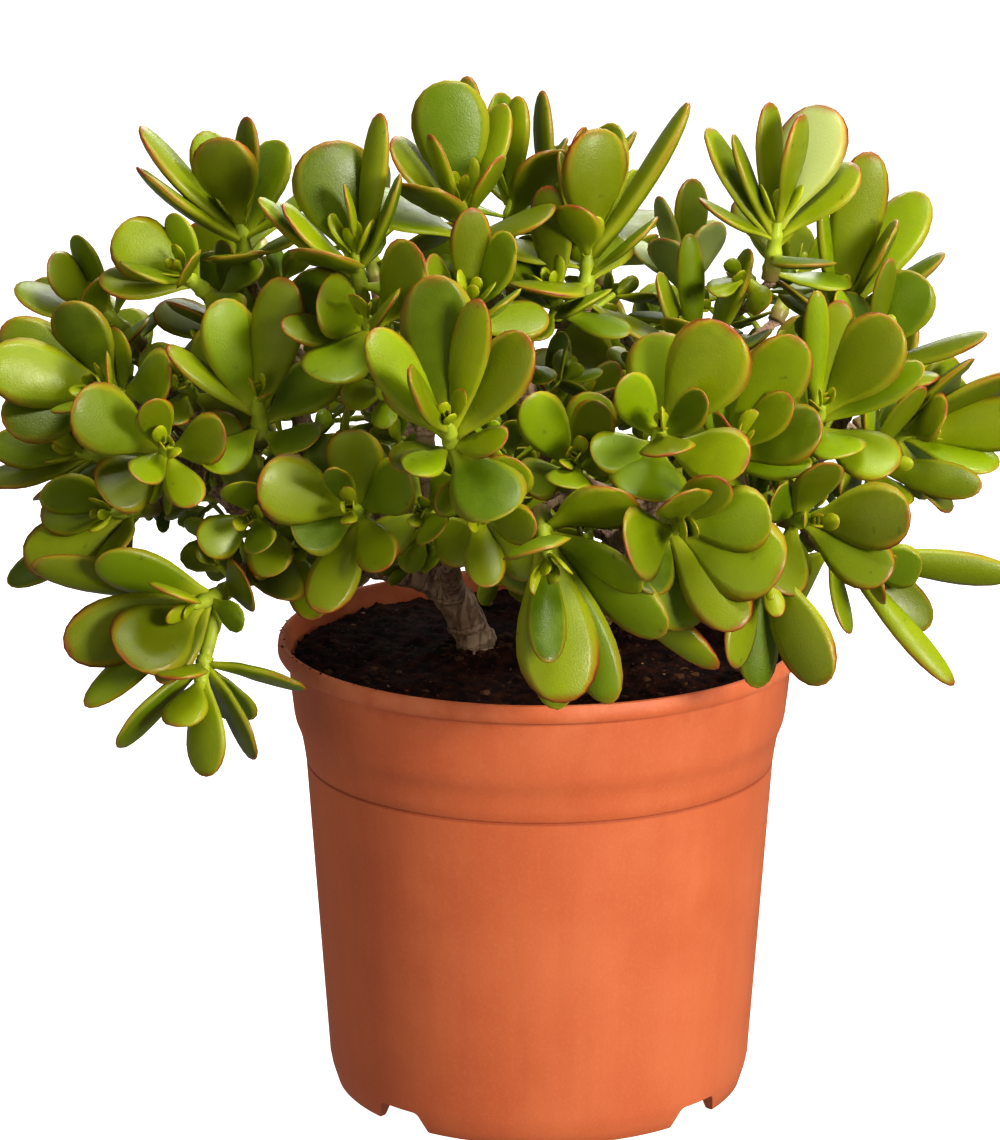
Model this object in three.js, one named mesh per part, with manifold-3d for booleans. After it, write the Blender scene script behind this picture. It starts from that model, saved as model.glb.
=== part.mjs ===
// Potted jade plant: a terracotta-coloured trade pot, its soil, two woody
// trunks and some fifty leafy stems.  Millimetres, +Z up.  The origin is the
// middle of the pot's underside; the front of the plant faces -Y.
import * as THREE from 'three';
import { mergeVertices } from 'three/addons/utils/BufferGeometryUtils.js';
import Module from 'manifold-3d';

const wasm = await Module();
wasm.setup();

// ---------------------------------------------------------------- sizes
const CLEAR = 0.3; // gap between neighbouring pieces

// pot
const POT_SIDES = 24;
const POT_TURN = 0.065; // radians, turns the foot notches as they stand in front
const FOOT_RADIUS = 74.4;
const FOOT_WIDTH = 3.2;
const FLOOR_UNDERSIDE = 8;
const FLOOR_TOP = 9.8;
const CENTRE_PAD_RADIUS = 14;
const LIP_HEIGHT = 168.7;
const LIP_RADIUS = 95;
const NOTCH_COUNT = 4;
const NOTCH_HEIGHT = 7.4;
const NOTCH_FOOT_WIDTH = 23;
const NOTCH_TOP_WIDTH = 17;
const DRAIN_COUNT = 4;
const DRAIN_RADIUS = 5;
const DRAIN_CIRCLE = 50;

// soil
const SOIL_TOP = 161;
const SOIL_RELIEF = 1.6;

// leaves
const LEAF_THICKNESS = 0.125; // share of the leaf's length
const LEAF_CURL = 0.07; // rise of the tip, share of the length
const LEAF_RIDGE = 0.62; // where along the leaf it is thickest
const LEAF_ROOT = 1; // mm from the stem's axis to the sunk root
const STEM_RADIUS = 2.8;
const STEM_SIDES = 4;
const TWIG_SIDES = 3;
const LIMB_SIDES = 5;
const LONG_TWIG = 30;
const STEM_LENGTH = 24;
const SIDE_STEM_LENGTH = 13;
const ROOT_BELOW_TIP = 3; // mm below the growing tip, an upright leaf's root
const ROOT_BELOW_OPEN = 8; // mm more for each radian that a leaf opens
const FORK_HEIGHT = 6; // mm above its foot, where a side shoot leaves a stem
const WIDTH_OF_LENGTH = 0.66;
// corners round the leaf from its root: [share of length, share of half width]
const LEAF_OUTLINE = [[0, 0], [0.56, 0.98], [0.92, 0.72], [1, 0], [0.92, -0.72], [0.56, -0.98]];

// how leaf pairs open down a stem: [length share, pitch from the stem, mm below the tip]
const PAIRS = [
  [0.5, 0.24, 3],
  [0.8, 0.62, 5],
  [1, 1.02, 9],
  [0.98, 1.4, 15],
  [0.85, 1.7, 21],
];
// a leaf that would cross another one is bent: [pitch, turn, length share]
const BENDS = [
  [0, 0, 1],
  [0.16, 0, 1],
  [-0.16, 0, 1],
  [0, 0.2, 1],
  [0, -0.2, 1],
  [0.3, 0.1, 0.95],
  [-0.3, -0.1, 0.95],
  [0.1, 0.42, 0.92],
  [0.1, -0.42, 0.92],
  [0.45, 0, 0.85],
  [-0.45, 0, 0.85],
  [0.2, 0.3, 0.75],
  [-0.2, -0.3, 0.7],
];
const SAME_STEM_OVERLAP = 0.004; // share of a leaf that may lie in its own neighbours
const LEAF_OVER_POT = 4; // mm kept between leaf tips and the pot's lip
const LEAVES_APART = 0.55; // radians, least angle of a rule leaf to the leaves seen in front
const YOUNG_NARROWNESS = 0.65; // width share of the youngest pair
const [TURN_JITTER, PITCH_JITTER, LENGTH_JITTER] = [0.2, 0.14, 0.1];

// twigs, from a limb to a stem's foot
const TWIG_RADIUS = 3.6;
const TWIG_CHOICES = 24; // nearest places on the limbs that are tried
const TWIG_STRAIGHT = 8; // mm in line with the stem, below its foot
const TWIG_BEND_AT = 0.35; // share of the way from the limb
const TWIG_LEAN = 0.12; // lean along the limb, share of the way
const LOWEST_TWIG = 12; // mm above the pot's lip

// The front of the plant is laid out as it is seen by an eye in front of it:
// a place is [across, up, depth], read on the upright plane through the pot's
// axis, with depth as the real distance behind that plane.
const EYE_DISTANCE = 1600;
const EYE_HEIGHT = 611;

function seen([across, up, depth]) {
  const t = (EYE_DISTANCE + depth) / EYE_DISTANCE;
  return new THREE.Vector3(across * t, depth, EYE_HEIGHT + (up - EYE_HEIGHT) * t);
}

// ------------------------------------------------------- woody limbs
// [trunk, radius at the foot, radius at the end, places]
const LIMBS = [
  ['trunk_left', 8.2, 6, [[-21, 140, -4], [-23, 166, -5], [-29, 179, -8], [-40, 190, -12],
    [-66, 197, -20], [-88, 204, -28], [-106, 216, -34], [-122, 230, -34]]],
  ['trunk_left', 5.5, 4, [[-66, 197, -20], [-76, 216, -12], [-84, 240, -6], [-88, 268, -6]]],
  ['trunk_left', 5.5, 4, [[-38, 188, -12], [-40, 208, 12], [-46, 236, 30], [-56, 262, 44]]],
  ['trunk_left', 5, 4, [[-100, 212, -32], [-108, 218, 0], [-116, 228, 34]]],
  ['trunk_left', 4.5, 4, [[-30, 180, -8], [-34, 198, -40], [-40, 222, -56], [-42, 250, -52]]],
  ['trunk_right', 7.4, 6, [[22, 140, 22], [21, 168, 22], [15, 186, 20], [8, 207, 14],
    [0, 230, 8], [-6, 256, 6], [-8, 284, 4]]],
  ['trunk_right', 6, 4.5, [[20, 172, 22], [34, 194, 10], [56, 214, -8], [84, 228, -14], [104, 238, -16]]],
  ['trunk_right', 5, 4, [[15, 186, 20], [26, 200, -20], [34, 208, -58], [40, 214, -78]]],
  ['trunk_right', 5, 4, [[56, 214, -8], [62, 236, 8], [66, 262, 18], [64, 284, 20]]],
  ['trunk_right', 5, 4, [[18, 180, 22], [30, 196, 52], [44, 222, 76], [48, 250, 84]]],
];

// ------------------------------------------------------- leafy stems
// [name, place of the growing tip, direction, leaf length, pairs,
//  leaves seen in front: [across, up, mm nearer than the growing tip, width]]
// A name that comes again is a side shoot of the same stem.
const SHOOTS = [
  ['stem_left_crown', [-107, 322, -20], [-0.15, -0.15, 1], 36, 4, [[-144, 351, 0, 19], [-141, 340, 14, 24],
    [-114, 349, 13, 23], [-101, 357, -4, 15], [-89, 347, -12, 26], [-120, 351, -14, 18]]],
  ['stem_left_inner', [-110, 288, -12], [-0.05, -0.3, 1], 34, 5, [[-110, 314, 6, 12]]],
  ['stem_left_upper', [-128, 302, -45], [-0.5, -0.6, 0.6], 28, 5, [[-148, 301, 16, 20], [-151, 316, -4, 22],
    [-131, 322, -4, 12], [-157, 305, 4, 16]]],
  ['stem_left_far', [-158, 290, -10], [-0.6, -0.3, 0.7], 26, 5, [[-176, 305, 6, 20], [-188, 293, 2, 20],
    [-166, 314, -2, 14], [-181, 303, -8, 16], [-172, 284, 14, 16]]],
  ['stem_left_front', [-158, 260, -60], [-0.45, -0.8, 0.4], 32, 4, [[-169, 291, -4, 21], [-199, 268, 4, 24],
    [-192, 281, -6, 20], [-150, 282, -4, 12], [-172, 246, 24, 16], [-192, 249, 10, 23]]],
  ['stem_left_low', [-134, 238, -85], [0.1, -0.9, 0.4], 28, 4, [[-168, 254, 6, 24], [-141, 257, 8, 14],
    [-146, 224, 18, 13], [-124, 214, 10, 14], [-158, 218, 0, 22], [-112, 243, 0, 18]]],
  ['stem_left_mid', [-101, 257, -75], [0, -0.55, 0.85], 34, 5, [[-88, 300, -6, 20], [-117, 291, -8, 22],
    [-131, 276, 4, 11], [-134, 265, 8, 23], [-80, 237, 6, 20]]],
  ['stem_left_edge', [-168, 236, -20], [-0.8, -0.3, 0.3], 30, 5, [[-197, 239, 0, 16], [-199, 226, 8, 24],
    [-182, 254, -6, 20], [-178, 218, 4, 20]]],
  ['stem_left_back', [-144, 272, 4], [-0.4, -0.3, 0.9], 30, 5, []],
  ['stem_left_curl', [-156, 213, -55], [-0.6, -0.7, 0.1], 28, 4, [[-179, 224, 6, 20], [-184, 211, 8, 18],
    [-190, 198, 2, 23], [-149, 220, 18, 10], [-201, 192, -6, 14], [-156, 194, 10, 18]]],
  ['stem_left_hanging', [-126, 178, -80], [-0.45, -0.75, -0.05], 34, 3, [[-152, 156, 16, 29], [-160, 198, 0, 20],
    [-184, 191, 0, 14], [-173, 163, 2, 24], [-165, 140, 2, 12], [-137, 148, 8, 14], [-104, 188, 2, 20]]],
  ['stem_left_hanging', [-124, 146, -85], [-0.15, -0.5, -0.8], 30, 4, [[-157, 129, 2, 19], [-120, 114, 4, 18],
    [-100, 123, 2, 19], [-84, 152, 0, 15]]],
  ['stem_left_cluster', [-90, 200, -62], [0.1, -0.9, 0.1], 26, 4, [[-98, 181, 8, 22], [-80, 172, 4, 14]]],
  ['stem_front_left', [-68, 215, -95], [-0.15, -0.9, 0.35], 30, 4, [[-102, 226, 4, 24], [-76, 233, 12, 10],
    [-54, 190, 12, 16], [-80, 175, 4, 18], [-90, 204, -2, 20], [-46, 228, 2, 20], [-68, 243, -6, 20]]],
  ['stem_front_upper', [-33, 247, -125], [-0.05, -0.75, 0.65], 36, 4, [[-38, 302, -8, 26], [-52, 263, 26, 16],
    [-64, 280, 2, 18], [-2, 278, 0, 22], [-16, 296, -6, 14], [-10, 238, 8, 14], [-48, 226, 8, 14]]],
  ['stem_front_upper', [-21, 212, -120], [0.1, -0.9, 0.1], 26, 3, [[-19, 184, 8, 14], [1, 207, 8, 14],
    [-2, 190, 6, 14], [14, 197, -6, 22], [-38, 222, 0, 14]]],
  ['stem_front_dark', [-62, 286, -82], [-0.15, -0.7, 0.6], 34, 4, [[-94, 279, 4, 14], [-81, 293, 2, 24],
    [-40, 310, 4, 24], [-60, 262, 14, 18]]],
  ['stem_top_left', [-66, 310, -58], [-0.1, -0.35, 1], 38, 4, [[-77, 348, -8, 30], [-103, 324, 0, 12],
    [-52, 358, -6, 12], [-66, 333, 8, 10], [-92, 332, -2, 20], [-45, 334, 10, 15]]],
  ['stem_top', [-28, 328, -30], [-0.1, -0.25, 1], 38, 4, [[-34, 370, -8, 27], [-25, 371, -18, 12],
    [-14, 362, -10, 16], [-50, 351, 0, 22], [-14, 342, 14, 18], [-42, 348, 14, 12]]],
  ['stem_top_low', [-24, 292, -78], [0.15, -0.5, 0.9], 32, 4, [[-24, 324, 2, 15], [-7, 314, 4, 18],
    [-8, 290, 12, 20], [-46, 304, 0, 18]]],
  ['stem_top_back', [-10, 330, 6], [0.1, 0, 1], 34, 4, [[-9, 364, 4, 12], [-18, 365, -10, 18], [6, 352, 0, 20]]],
  ['stem_top_right', [17, 312, -20], [0.05, -0.1, 1], 38, 5, [[21, 352, 8, 25], [47, 365, 0, 14],
    [42, 320, 6, 22], [28, 354, -12, 18], [4, 344, 0, 14]]],
  ['stem_top_right', [4, 296, -24], [-0.2, -0.4, 0.9], 32, 3, [[2, 332, 0, 16], [-12, 302, 6, 18],
    [32, 278, 6, 13], [-8, 276, 10, 18]]],
  ['stem_centre_back', [4, 326, 26], [0, 0.1, 1], 34, 4, [[-2, 366, 0, 12], [14, 354, 2, 16], [36, 350, -4, 18]]],
  ['stem_front_small', [12, 234, -105], [0, -0.85, 0.45], 28, 4, [[-6, 257, 2, 18], [24, 256, 4, 16],
    [18, 212, 4, 20], [-8, 224, 0, 16], [32, 238, 0, 16]]],
  ['stem_front_right', [43, 245, -120], [0, -0.85, 0.5], 36, 4, [[69, 282, 0, 29], [28, 264, 4, 16],
    [62, 257, 6, 14], [37, 216, 8, 27], [76, 230, 4, 22], [18, 234, 0, 16]]],
  ['stem_front_pale', [51, 208, -127], [0.2, -0.9, 0.2], 36, 4, [[68, 232, 4, 16], [88, 191, 4, 29],
    [37, 184, 6, 17], [73, 172, 10, 21]]],
  ['stem_right_front', [71, 240, -92], [0.3, -0.6, 0.6], 34, 5, [[92, 280, -2, 23], [88, 256, 10, 14],
    [102, 246, 0, 22], [98, 229, 6, 14], [60, 271, -8, 18]]],
  ['stem_right_upper', [101, 254, -72], [0.15, -0.65, 0.65], 34, 4, [[97, 296, -4, 10], [107, 291, -4, 14],
    [128, 284, 2, 25], [136, 268, 4, 14], [82, 266, 4, 18], [111, 234, 12, 20]]],
  ['stem_right_tip', [136, 243, -30], [0.9, -0.4, 0.15], 34, 5, [[172, 271, 2, 20], [151, 274, 2, 12],
    [180, 249, 2, 20], [164, 229, 6, 20]]],
  ['stem_right_tip', [124, 233, -42], [0.5, -0.7, 0.2], 28, 3, [[159, 222, 6, 14], [136, 262, 0, 10],
    [128, 214, 8, 20]]],
  ['stem_right_high', [121, 277, -30], [0.3, -0.4, 0.9], 28, 4, [[121, 308, 0, 10], [135, 301, -6, 22],
    [160, 277, 2, 12], [142, 262, 8, 15], [104, 294, 0, 18]]],
  ['stem_right_low', [98, 211, -100], [0.3, -0.9, 0.2], 30, 5, [[101, 240, 2, 17], [134, 213, 4, 23],
    [87, 183, 8, 18], [126, 191, 6, 20], [82, 222, 4, 16]]],
  ['stem_right_hanging', [82, 188, -105], [0.2, -0.6, -0.6], 34, 4, [[106, 151, 6, 21], [68, 156, 8, 18],
    [80, 148, 0, 16]]],
  ['stem_right_trailing', [118, 195, -60], [0.7, -0.5, -0.2], 30, 4, [[140, 188, 8, 20], [148, 148, 0, 11],
    [142, 172, -8, 18], [172, 188, -4, 13], [110, 168, 4, 14]]],
  ['stem_front_hanging', [3, 196, -130], [0.1, -0.85, -0.5], 36, 4, [[9, 142, 8, 28], [2, 156, 20, 14],
    [39, 188, 6, 18], [48, 172, -4, 22], [64, 154, -10, 14], [-16, 136, 0, 20], [27, 143, -2, 18]]],
  ['stem_middle_right', [52, 304, 40], [0, 0.1, 1], 30, 5, [[55, 335, 0, 18], [40, 328, 4, 16],
    [42, 312, 12, 20], [64, 318, 8, 22]]],
  ['stem_middle_narrow', [56, 276, -16], [0, -0.3, 1], 32, 4, [[51, 316, 0, 11], [79, 308, 2, 16],
    [38, 300, 0, 13]]],
  ['stem_right_crown', [84, 322, -20], [0.1, -0.15, 1], 36, 5, [[94, 357, 8, 23], [98, 363, -12, 27],
    [65, 350, 0, 15], [60, 354, -8, 18], [71, 361, -12, 14]]],
  ['stem_right_back', [107, 293, -2], [0.2, -0.2, 0.9], 32, 5, [[96, 330, 4, 14], [130, 317, 8, 24],
    [133, 336, -6, 25], [145, 306, 2, 14], [115, 345, -12, 20]]],
  ['stem_inner_right', [12, 258, 30], [0.3, -0.5, 0.8], 28, 4, [[3, 280, 0, 16], [30, 266, 0, 16]]],
  ['stem_inner_low', [-4, 224, -62], [-0.1, -0.9, 0.3], 26, 4, []],
  ['stem_back_1', [-112, 304, 62], [-0.4, 0.5, 0.8], 34, 4, []],
  ['stem_back_2', [-62, 318, 64], [-0.2, 0.4, 1], 36, 4, []],
  ['stem_back_3', [-26, 296, 112], [0, 0.8, 0.7], 36, 4, []],
  ['stem_back_4', [24, 318, 84], [0.1, 0.5, 1], 36, 4, []],
  ['stem_back_5', [92, 304, 66], [0.4, 0.5, 0.8], 34, 4, []],
  ['stem_back_6', [132, 256, 56], [0.9, 0.4, 0.4], 34, 4, []],
  ['stem_back_7', [88, 258, 118], [0.5, 0.8, 0.4], 34, 4, []],
  ['stem_back_8', [34, 272, 136], [0.1, 0.9, 0.5], 36, 4, []],
  ['stem_back_9', [-66, 262, 128], [-0.3, 0.9, 0.4], 34, 4, []],
  ['stem_back_10', [-116, 256, 96], [-0.7, 0.7, 0.3], 34, 4, []],
  ['stem_back_11', [-162, 252, 46], [-0.9, 0.4, 0.3], 32, 4, []],
  ['stem_back_12', [-12, 228, 122], [-0.1, 1, 0], 34, 4, []],
  ['stem_back_13', [62, 220, 104], [0.4, 0.9, -0.1], 34, 4, []],
  ['stem_back_14', [-72, 216, 92], [-0.4, 0.9, -0.1], 32, 4, []],
  ['stem_inner_left', [-104, 212, -84], [-0.1, -0.8, 0.1], 26, 4, []],
  ['stem_inner_front', [-43, 214, -92], [-0.1, -0.9, 0.2], 25, 4, []],
  ['stem_inner_centre', [-8, 205, -84], [0.1, -0.9, 0.15], 24, 4, []],
  ['stem_inner_upper', [-128, 262, -66], [-0.1, -0.8, 0.5], 25, 4, []],
];

// ------------------------------------------------------------ helpers
let randomState = 1;

function seedRandom(number) {
  randomState = 7919 * number + 101;
}

function random() {
  randomState = (randomState * 1664525 + 1013904223) % 4294967296;
  return randomState / 4294967296;
}

function jitter(size) {
  return size * (2 * random() - 1);
}

// a closed three.js geometry as a solid that can be joined and cut
function solidOf(geometry) {
  const bare = geometry.index ? geometry.clone() : geometry;
  bare.deleteAttribute('normal');
  bare.deleteAttribute('uv');
  const merged = mergeVertices(bare, 1e-4);
  const corners = merged.index.array;
  const faces = [];
  for (let i = 0; i < corners.length; i += 3) {
    const [a, b, c] = [corners[i], corners[i + 1], corners[i + 2]];
    if (a !== b && b !== c && a !== c) faces.push(a, b, c);
  }
  return new wasm.Manifold(new wasm.Mesh({
    numProp: 3,
    vertProperties: new Float32Array(merged.attributes.position.array),
    triVerts: new Uint32Array(faces),
  }));
}

function geometryOf(solid) {
  const mesh = solid.getMesh();
  const geometry = new THREE.BufferGeometry();
  geometry.setAttribute('position', new THREE.BufferAttribute(new Float32Array(mesh.vertProperties), 3));
  geometry.setIndex(new THREE.BufferAttribute(new Uint32Array(mesh.triVerts), 1));
  geometry.computeVertexNormals();
  return geometry;
}

const group = new THREE.Group();

function addPiece(name, solid, material) {
  const mesh = new THREE.Mesh(geometryOf(solid), material);
  mesh.name = name;
  group.add(mesh);
}

// a round tapered limb along a smooth line through the points
function limb(points, startRadius, endRadius, sides, steps) {
  const line = new THREE.CatmullRomCurve3(points, false, 'centripetal');
  const frames = line.computeFrenetFrames(steps);
  const geometry = new THREE.CylinderGeometry(1, 1, 1, sides, steps);
  const place = geometry.attributes.position;
  for (let i = 0; i < place.count; i += 1) {
    const along = place.getY(i) + 0.5;
    const step = Math.round(along * steps);
    const radius = startRadius + (endRadius - startRadius) * along;
    const point = line.getPoint(step / steps);
    point.addScaledVector(frames.normals[step], place.getX(i) * radius);
    point.addScaledVector(frames.binormals[step], -place.getZ(i) * radius);
    place.setXYZ(i, point.x, point.y, point.z);
  }
  const solid = solidOf(geometry);
  return solid;
}

// ------------------------------------------------------------ obstacles
// every placed solid with its box, so that later leaves keep clear of it
const placed = [];

function boxOf(solid) {
  const { min, max } = solid.boundingBox();
  return new THREE.Box3(new THREE.Vector3(...min), new THREE.Vector3(...max));
}

function remember(owner, solid) {
  placed.push({ owner, solid, box: boxOf(solid) });
}

function crossesOthers(owner, solid) {
  const box = boxOf(solid).expandByScalar(CLEAR);
  return placed.some((other) => other.owner !== owner && other.box.intersectsBox(box)
    && other.solid.intersect(solid).volume() > 0);
}

function crowdsOwnStem(owner, solid) {
  const box = boxOf(solid);
  const allowed = solid.volume() * SAME_STEM_OVERLAP;
  return placed.some((other) => other.owner === owner && other.box.intersectsBox(box)
    && other.solid.intersect(solid).volume() > allowed);
}

// ------------------------------------------------------------ pot
function buildPot() {
  const profile = [
    [0, 0], [CENTRE_PAD_RADIUS, 0], [CENTRE_PAD_RADIUS + 1, FLOOR_UNDERSIDE],
    [FOOT_RADIUS - FOOT_WIDTH - 1, FLOOR_UNDERSIDE], [FOOT_RADIUS - FOOT_WIDTH, 0],
    [FOOT_RADIUS, 0], [77.1, 8.5],
    [85.1, 123.4], [86.6, 133.3], [89.3, 138.5], [91.2, 161],
    [LIP_RADIUS, 164], [94.4, LIP_HEIGHT],
    [92.2, LIP_HEIGHT], [89.4, 160], [87.5, 139], [83.3, 123.4],
    [75.4, 12], [72.4, FLOOR_TOP], [0, FLOOR_TOP],
  ];
  const lathe = new THREE.LatheGeometry(profile.map(([r, z]) => new THREE.Vector2(r, z)), POT_SIDES);
  lathe.rotateX(Math.PI / 2);
  let pot = solidOf(lathe);

  const notch = new THREE.Shape([
    new THREE.Vector2(-NOTCH_FOOT_WIDTH / 2, -2),
    new THREE.Vector2(NOTCH_FOOT_WIDTH / 2, -2),
    new THREE.Vector2(NOTCH_FOOT_WIDTH / 2, 0),
    new THREE.Vector2(NOTCH_TOP_WIDTH / 2, NOTCH_HEIGHT - 1),
    new THREE.Vector2(0, NOTCH_HEIGHT),
    new THREE.Vector2(-NOTCH_TOP_WIDTH / 2, NOTCH_HEIGHT - 1),
    new THREE.Vector2(-NOTCH_FOOT_WIDTH / 2, 0),
  ]);
  for (let i = 0; i < NOTCH_COUNT; i += 1) {
    const cut = new THREE.ExtrudeGeometry(notch, { depth: 22, bevelEnabled: false });
    cut.rotateX(Math.PI / 2);
    cut.translate(0, 84, 0);
    cut.rotateZ(Math.PI / 4 + POT_TURN + (i * 2 * Math.PI) / NOTCH_COUNT);
    pot = pot.subtract(solidOf(cut));
  }
  for (let i = 0; i < DRAIN_COUNT; i += 1) {
    const drain = new THREE.CylinderGeometry(DRAIN_RADIUS, DRAIN_RADIUS, 3 * FLOOR_UNDERSIDE, 6);
    drain.rotateX(Math.PI / 2);
    drain.translate(DRAIN_CIRCLE, 0, 0);
    drain.rotateZ(POT_TURN + (i * 2 * Math.PI) / DRAIN_COUNT);
    pot = pot.subtract(solidOf(drain));
  }
  return pot;
}

// ------------------------------------------------------------ soil
function soilRelief(angle, radius) {
  const waves = Math.sin(3 * angle + 1) + Math.sin(5 * angle + radius / 9) + Math.cos(radius / 7);
  return (SOIL_RELIEF * waves) / 3;
}

function buildSoil(holes) {
  const profile = [
    [0, FLOOR_TOP + CLEAR], [71, FLOOR_TOP + CLEAR], [74.6, 13],
    [82.3, 121], [83.6, 133.4], [86.4, 139], [88, SOIL_TOP - 1.5],
    [60, SOIL_TOP], [30, SOIL_TOP], [0, SOIL_TOP],
  ];
  const lathe = new THREE.LatheGeometry(profile.map(([r, z]) => new THREE.Vector2(r, z)), POT_SIDES / 2);
  lathe.rotateX(Math.PI / 2);
  const place = lathe.attributes.position;
  for (let i = 0; i < place.count; i += 1) {
    const [x, y, z] = [place.getX(i), place.getY(i), place.getZ(i)];
    const radius = Math.hypot(x, y);
    if (z > SOIL_TOP - 0.5 && radius > 1) place.setZ(i, z + soilRelief(Math.atan2(y, x), radius));
  }
  return holes.reduce((soil, hole) => soil.subtract(hole), solidOf(lathe));
}

// ------------------------------------------------------------ leaves
// One leaf: its growing direction, the way its upper face looks, and its size.
// 'swell' makes it larger all round, to try a place with a margin.
function leafSolid(root, along, face, length, width, swell = 0) {
  const geometry = new THREE.SphereGeometry(1, LEAF_OUTLINE.length, 2);
  const across = new THREE.Vector3().crossVectors(along, face);
  const place = geometry.attributes.position;
  const half = LEAF_THICKNESS * length * 0.5 + swell;
  for (let row = 0; row < 3; row += 1) {
    for (let column = 0; column <= LEAF_OUTLINE.length; column += 1) {
      const i = row * (LEAF_OUTLINE.length + 1) + column;
      const [station, side] = LEAF_OUTLINE[column % LEAF_OUTLINE.length];
      const onRim = row === 1;
      const u = onRim ? station : LEAF_RIDGE;
      const x = onRim ? side * (width * 0.5 + swell) : 0;
      const y = LEAF_ROOT + u * (length - LEAF_ROOT + swell);
      const z = LEAF_CURL * length * u * u + (1 - row) * half;
      const point = root.clone();
      point.addScaledVector(across, x);
      point.addScaledVector(along, y);
      point.addScaledVector(face, z);
      place.setXYZ(i, point.x, point.y, point.z);
    }
  }
  return solidOf(geometry);
}

// the leaf's direction after a bend in pitch and a turn about the stem
function bentLeaf(along, stemDirection, pitch, turn) {
  const hinge = new THREE.Vector3().crossVectors(stemDirection, along).normalize();
  const bent = along.clone().applyAxisAngle(hinge, pitch).applyAxisAngle(stemDirection, turn);
  const face = stemDirection.clone().addScaledVector(bent, -stemDirection.dot(bent)).normalize();
  return [bent, face];
}

function overPotOrSoil(tip) {
  return Math.hypot(tip.x, tip.y) < LIP_RADIUS + LEAF_OVER_POT && tip.z < LIP_HEIGHT + LEAF_OVER_POT;
}

function growLeaf(node, leaf) {
  for (const [pitch, turn, share] of BENDS) {
    const [along, face] = bentLeaf(leaf.along, leaf.stem, pitch, turn);
    const length = leaf.length * share;
    const tip = leaf.root.clone().addScaledVector(along, length);
    if (overPotOrSoil(tip)) continue;
    const trial = leafSolid(leaf.root, along, face, length, leaf.width * share, CLEAR);
    if (crossesOthers(node.name, trial)) continue;
    const solid = leafSolid(leaf.root, along, face, length, leaf.width * share);
    if (crowdsOwnStem(node.name, solid)) continue;
    remember(node.name, solid);
    node.leaves.push(solid);
    return true;
  }
  return false;
}

// ------------------------------------------------------------ build the wood
const trunks = { trunk_left: [], trunk_right: [] };
const soilHoles = [];
const limbPoints = [];
for (const [trunk, foot, end, places] of LIMBS) {
  const points = places.map(seen);
  const steps = points.length - 1;
  const solid = limb(points, foot, end, LIMB_SIDES, steps);
  trunks[trunk].push(solid);
  remember(trunk, solid);
  if (places[0][1] < SOIL_TOP) {
    const hole = points.slice(0, 3);
    hole[0] = hole[0].clone().addScaledVector(hole[1].clone().sub(hole[0]).normalize(), -CLEAR);
    soilHoles.push(limb(hole, foot + 2 * CLEAR, foot + 2 * CLEAR, LIMB_SIDES, 2));
  }
  const line = new THREE.CatmullRomCurve3(points, false, 'centripetal');
  for (let i = 1; i <= 2 * steps; i += 1) {
    const share = i / (2 * steps);
    const point = line.getPointAt(share);
    if (point.z > LIP_HEIGHT + LOWEST_TWIG) limbPoints.push({ trunk, point, tangent: line.getTangentAt(share) });
  }
}

// ------------------------------------------------------------ stems, then twigs
const nodes = [];
const heads = [];
for (const [name, place, direction, size, pairs, shown] of SHOOTS) {
  const tip = seen(place);
  const grow = new THREE.Vector3(...direction).normalize();
  let node = nodes.find((other) => other.name === name);
  const length = node ? SIDE_STEM_LENGTH : STEM_LENGTH;
  const foot = tip.clone().addScaledVector(grow, -length);
  if (node) {
    const fork = node.foot.clone().addScaledVector(node.grow, FORK_HEIGHT);
    for (const [start, end] of [[fork, foot], [foot, tip]]) {
      const solid = limb([start, end], STEM_RADIUS, STEM_RADIUS * 0.9, STEM_SIDES, 1);
      node.stems.push(solid);
      remember(name, solid);
    }
  } else {
    node = { name, tip, grow, foot, stems: [], leaves: [] };
    const solid = limb([foot, tip], STEM_RADIUS + 0.3, STEM_RADIUS * 0.8, STEM_SIDES, 1);
    node.stems.push(solid);
    remember(name, solid);
    nodes.push(node);
  }
  const reach = length - STEM_RADIUS;
  heads.push({ node, place, tip, grow, reach, size, pairs, shown, index: heads.length });
}

// a twig runs from the nearest clear place on a limb to the stem's foot
for (const node of nodes) {
  const end = node.foot.clone().addScaledVector(node.grow, -CLEAR);
  const before = node.foot.clone().addScaledVector(node.grow, -TWIG_STRAIGHT);
  const choices = limbPoints
    .map((spot) => ({ ...spot, away: spot.point.distanceTo(before) }))
    .sort((a, b) => a.away - b.away)
    .slice(0, TWIG_CHOICES);
  let twig = null;
  for (const spot of choices) {
    const lean = spot.point.clone().lerp(before, TWIG_BEND_AT).addScaledVector(spot.tangent, spot.away * TWIG_LEAN);
    const steps = spot.away > LONG_TWIG ? 2 : 1;
    const trial = limb([spot.point, lean, before, end], TWIG_RADIUS, STEM_RADIUS + 2 * CLEAR, TWIG_SIDES, steps);
    if (!crossesOthers(spot.trunk, trial)) {
      twig = { trunk: spot.trunk, solid: trial };
      break;
    }
  }
  if (!twig) throw new Error(`no clear twig for ${node.name}`);
  trunks[twig.trunk].push(twig.solid);
  remember(twig.trunk, twig.solid);
}

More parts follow.
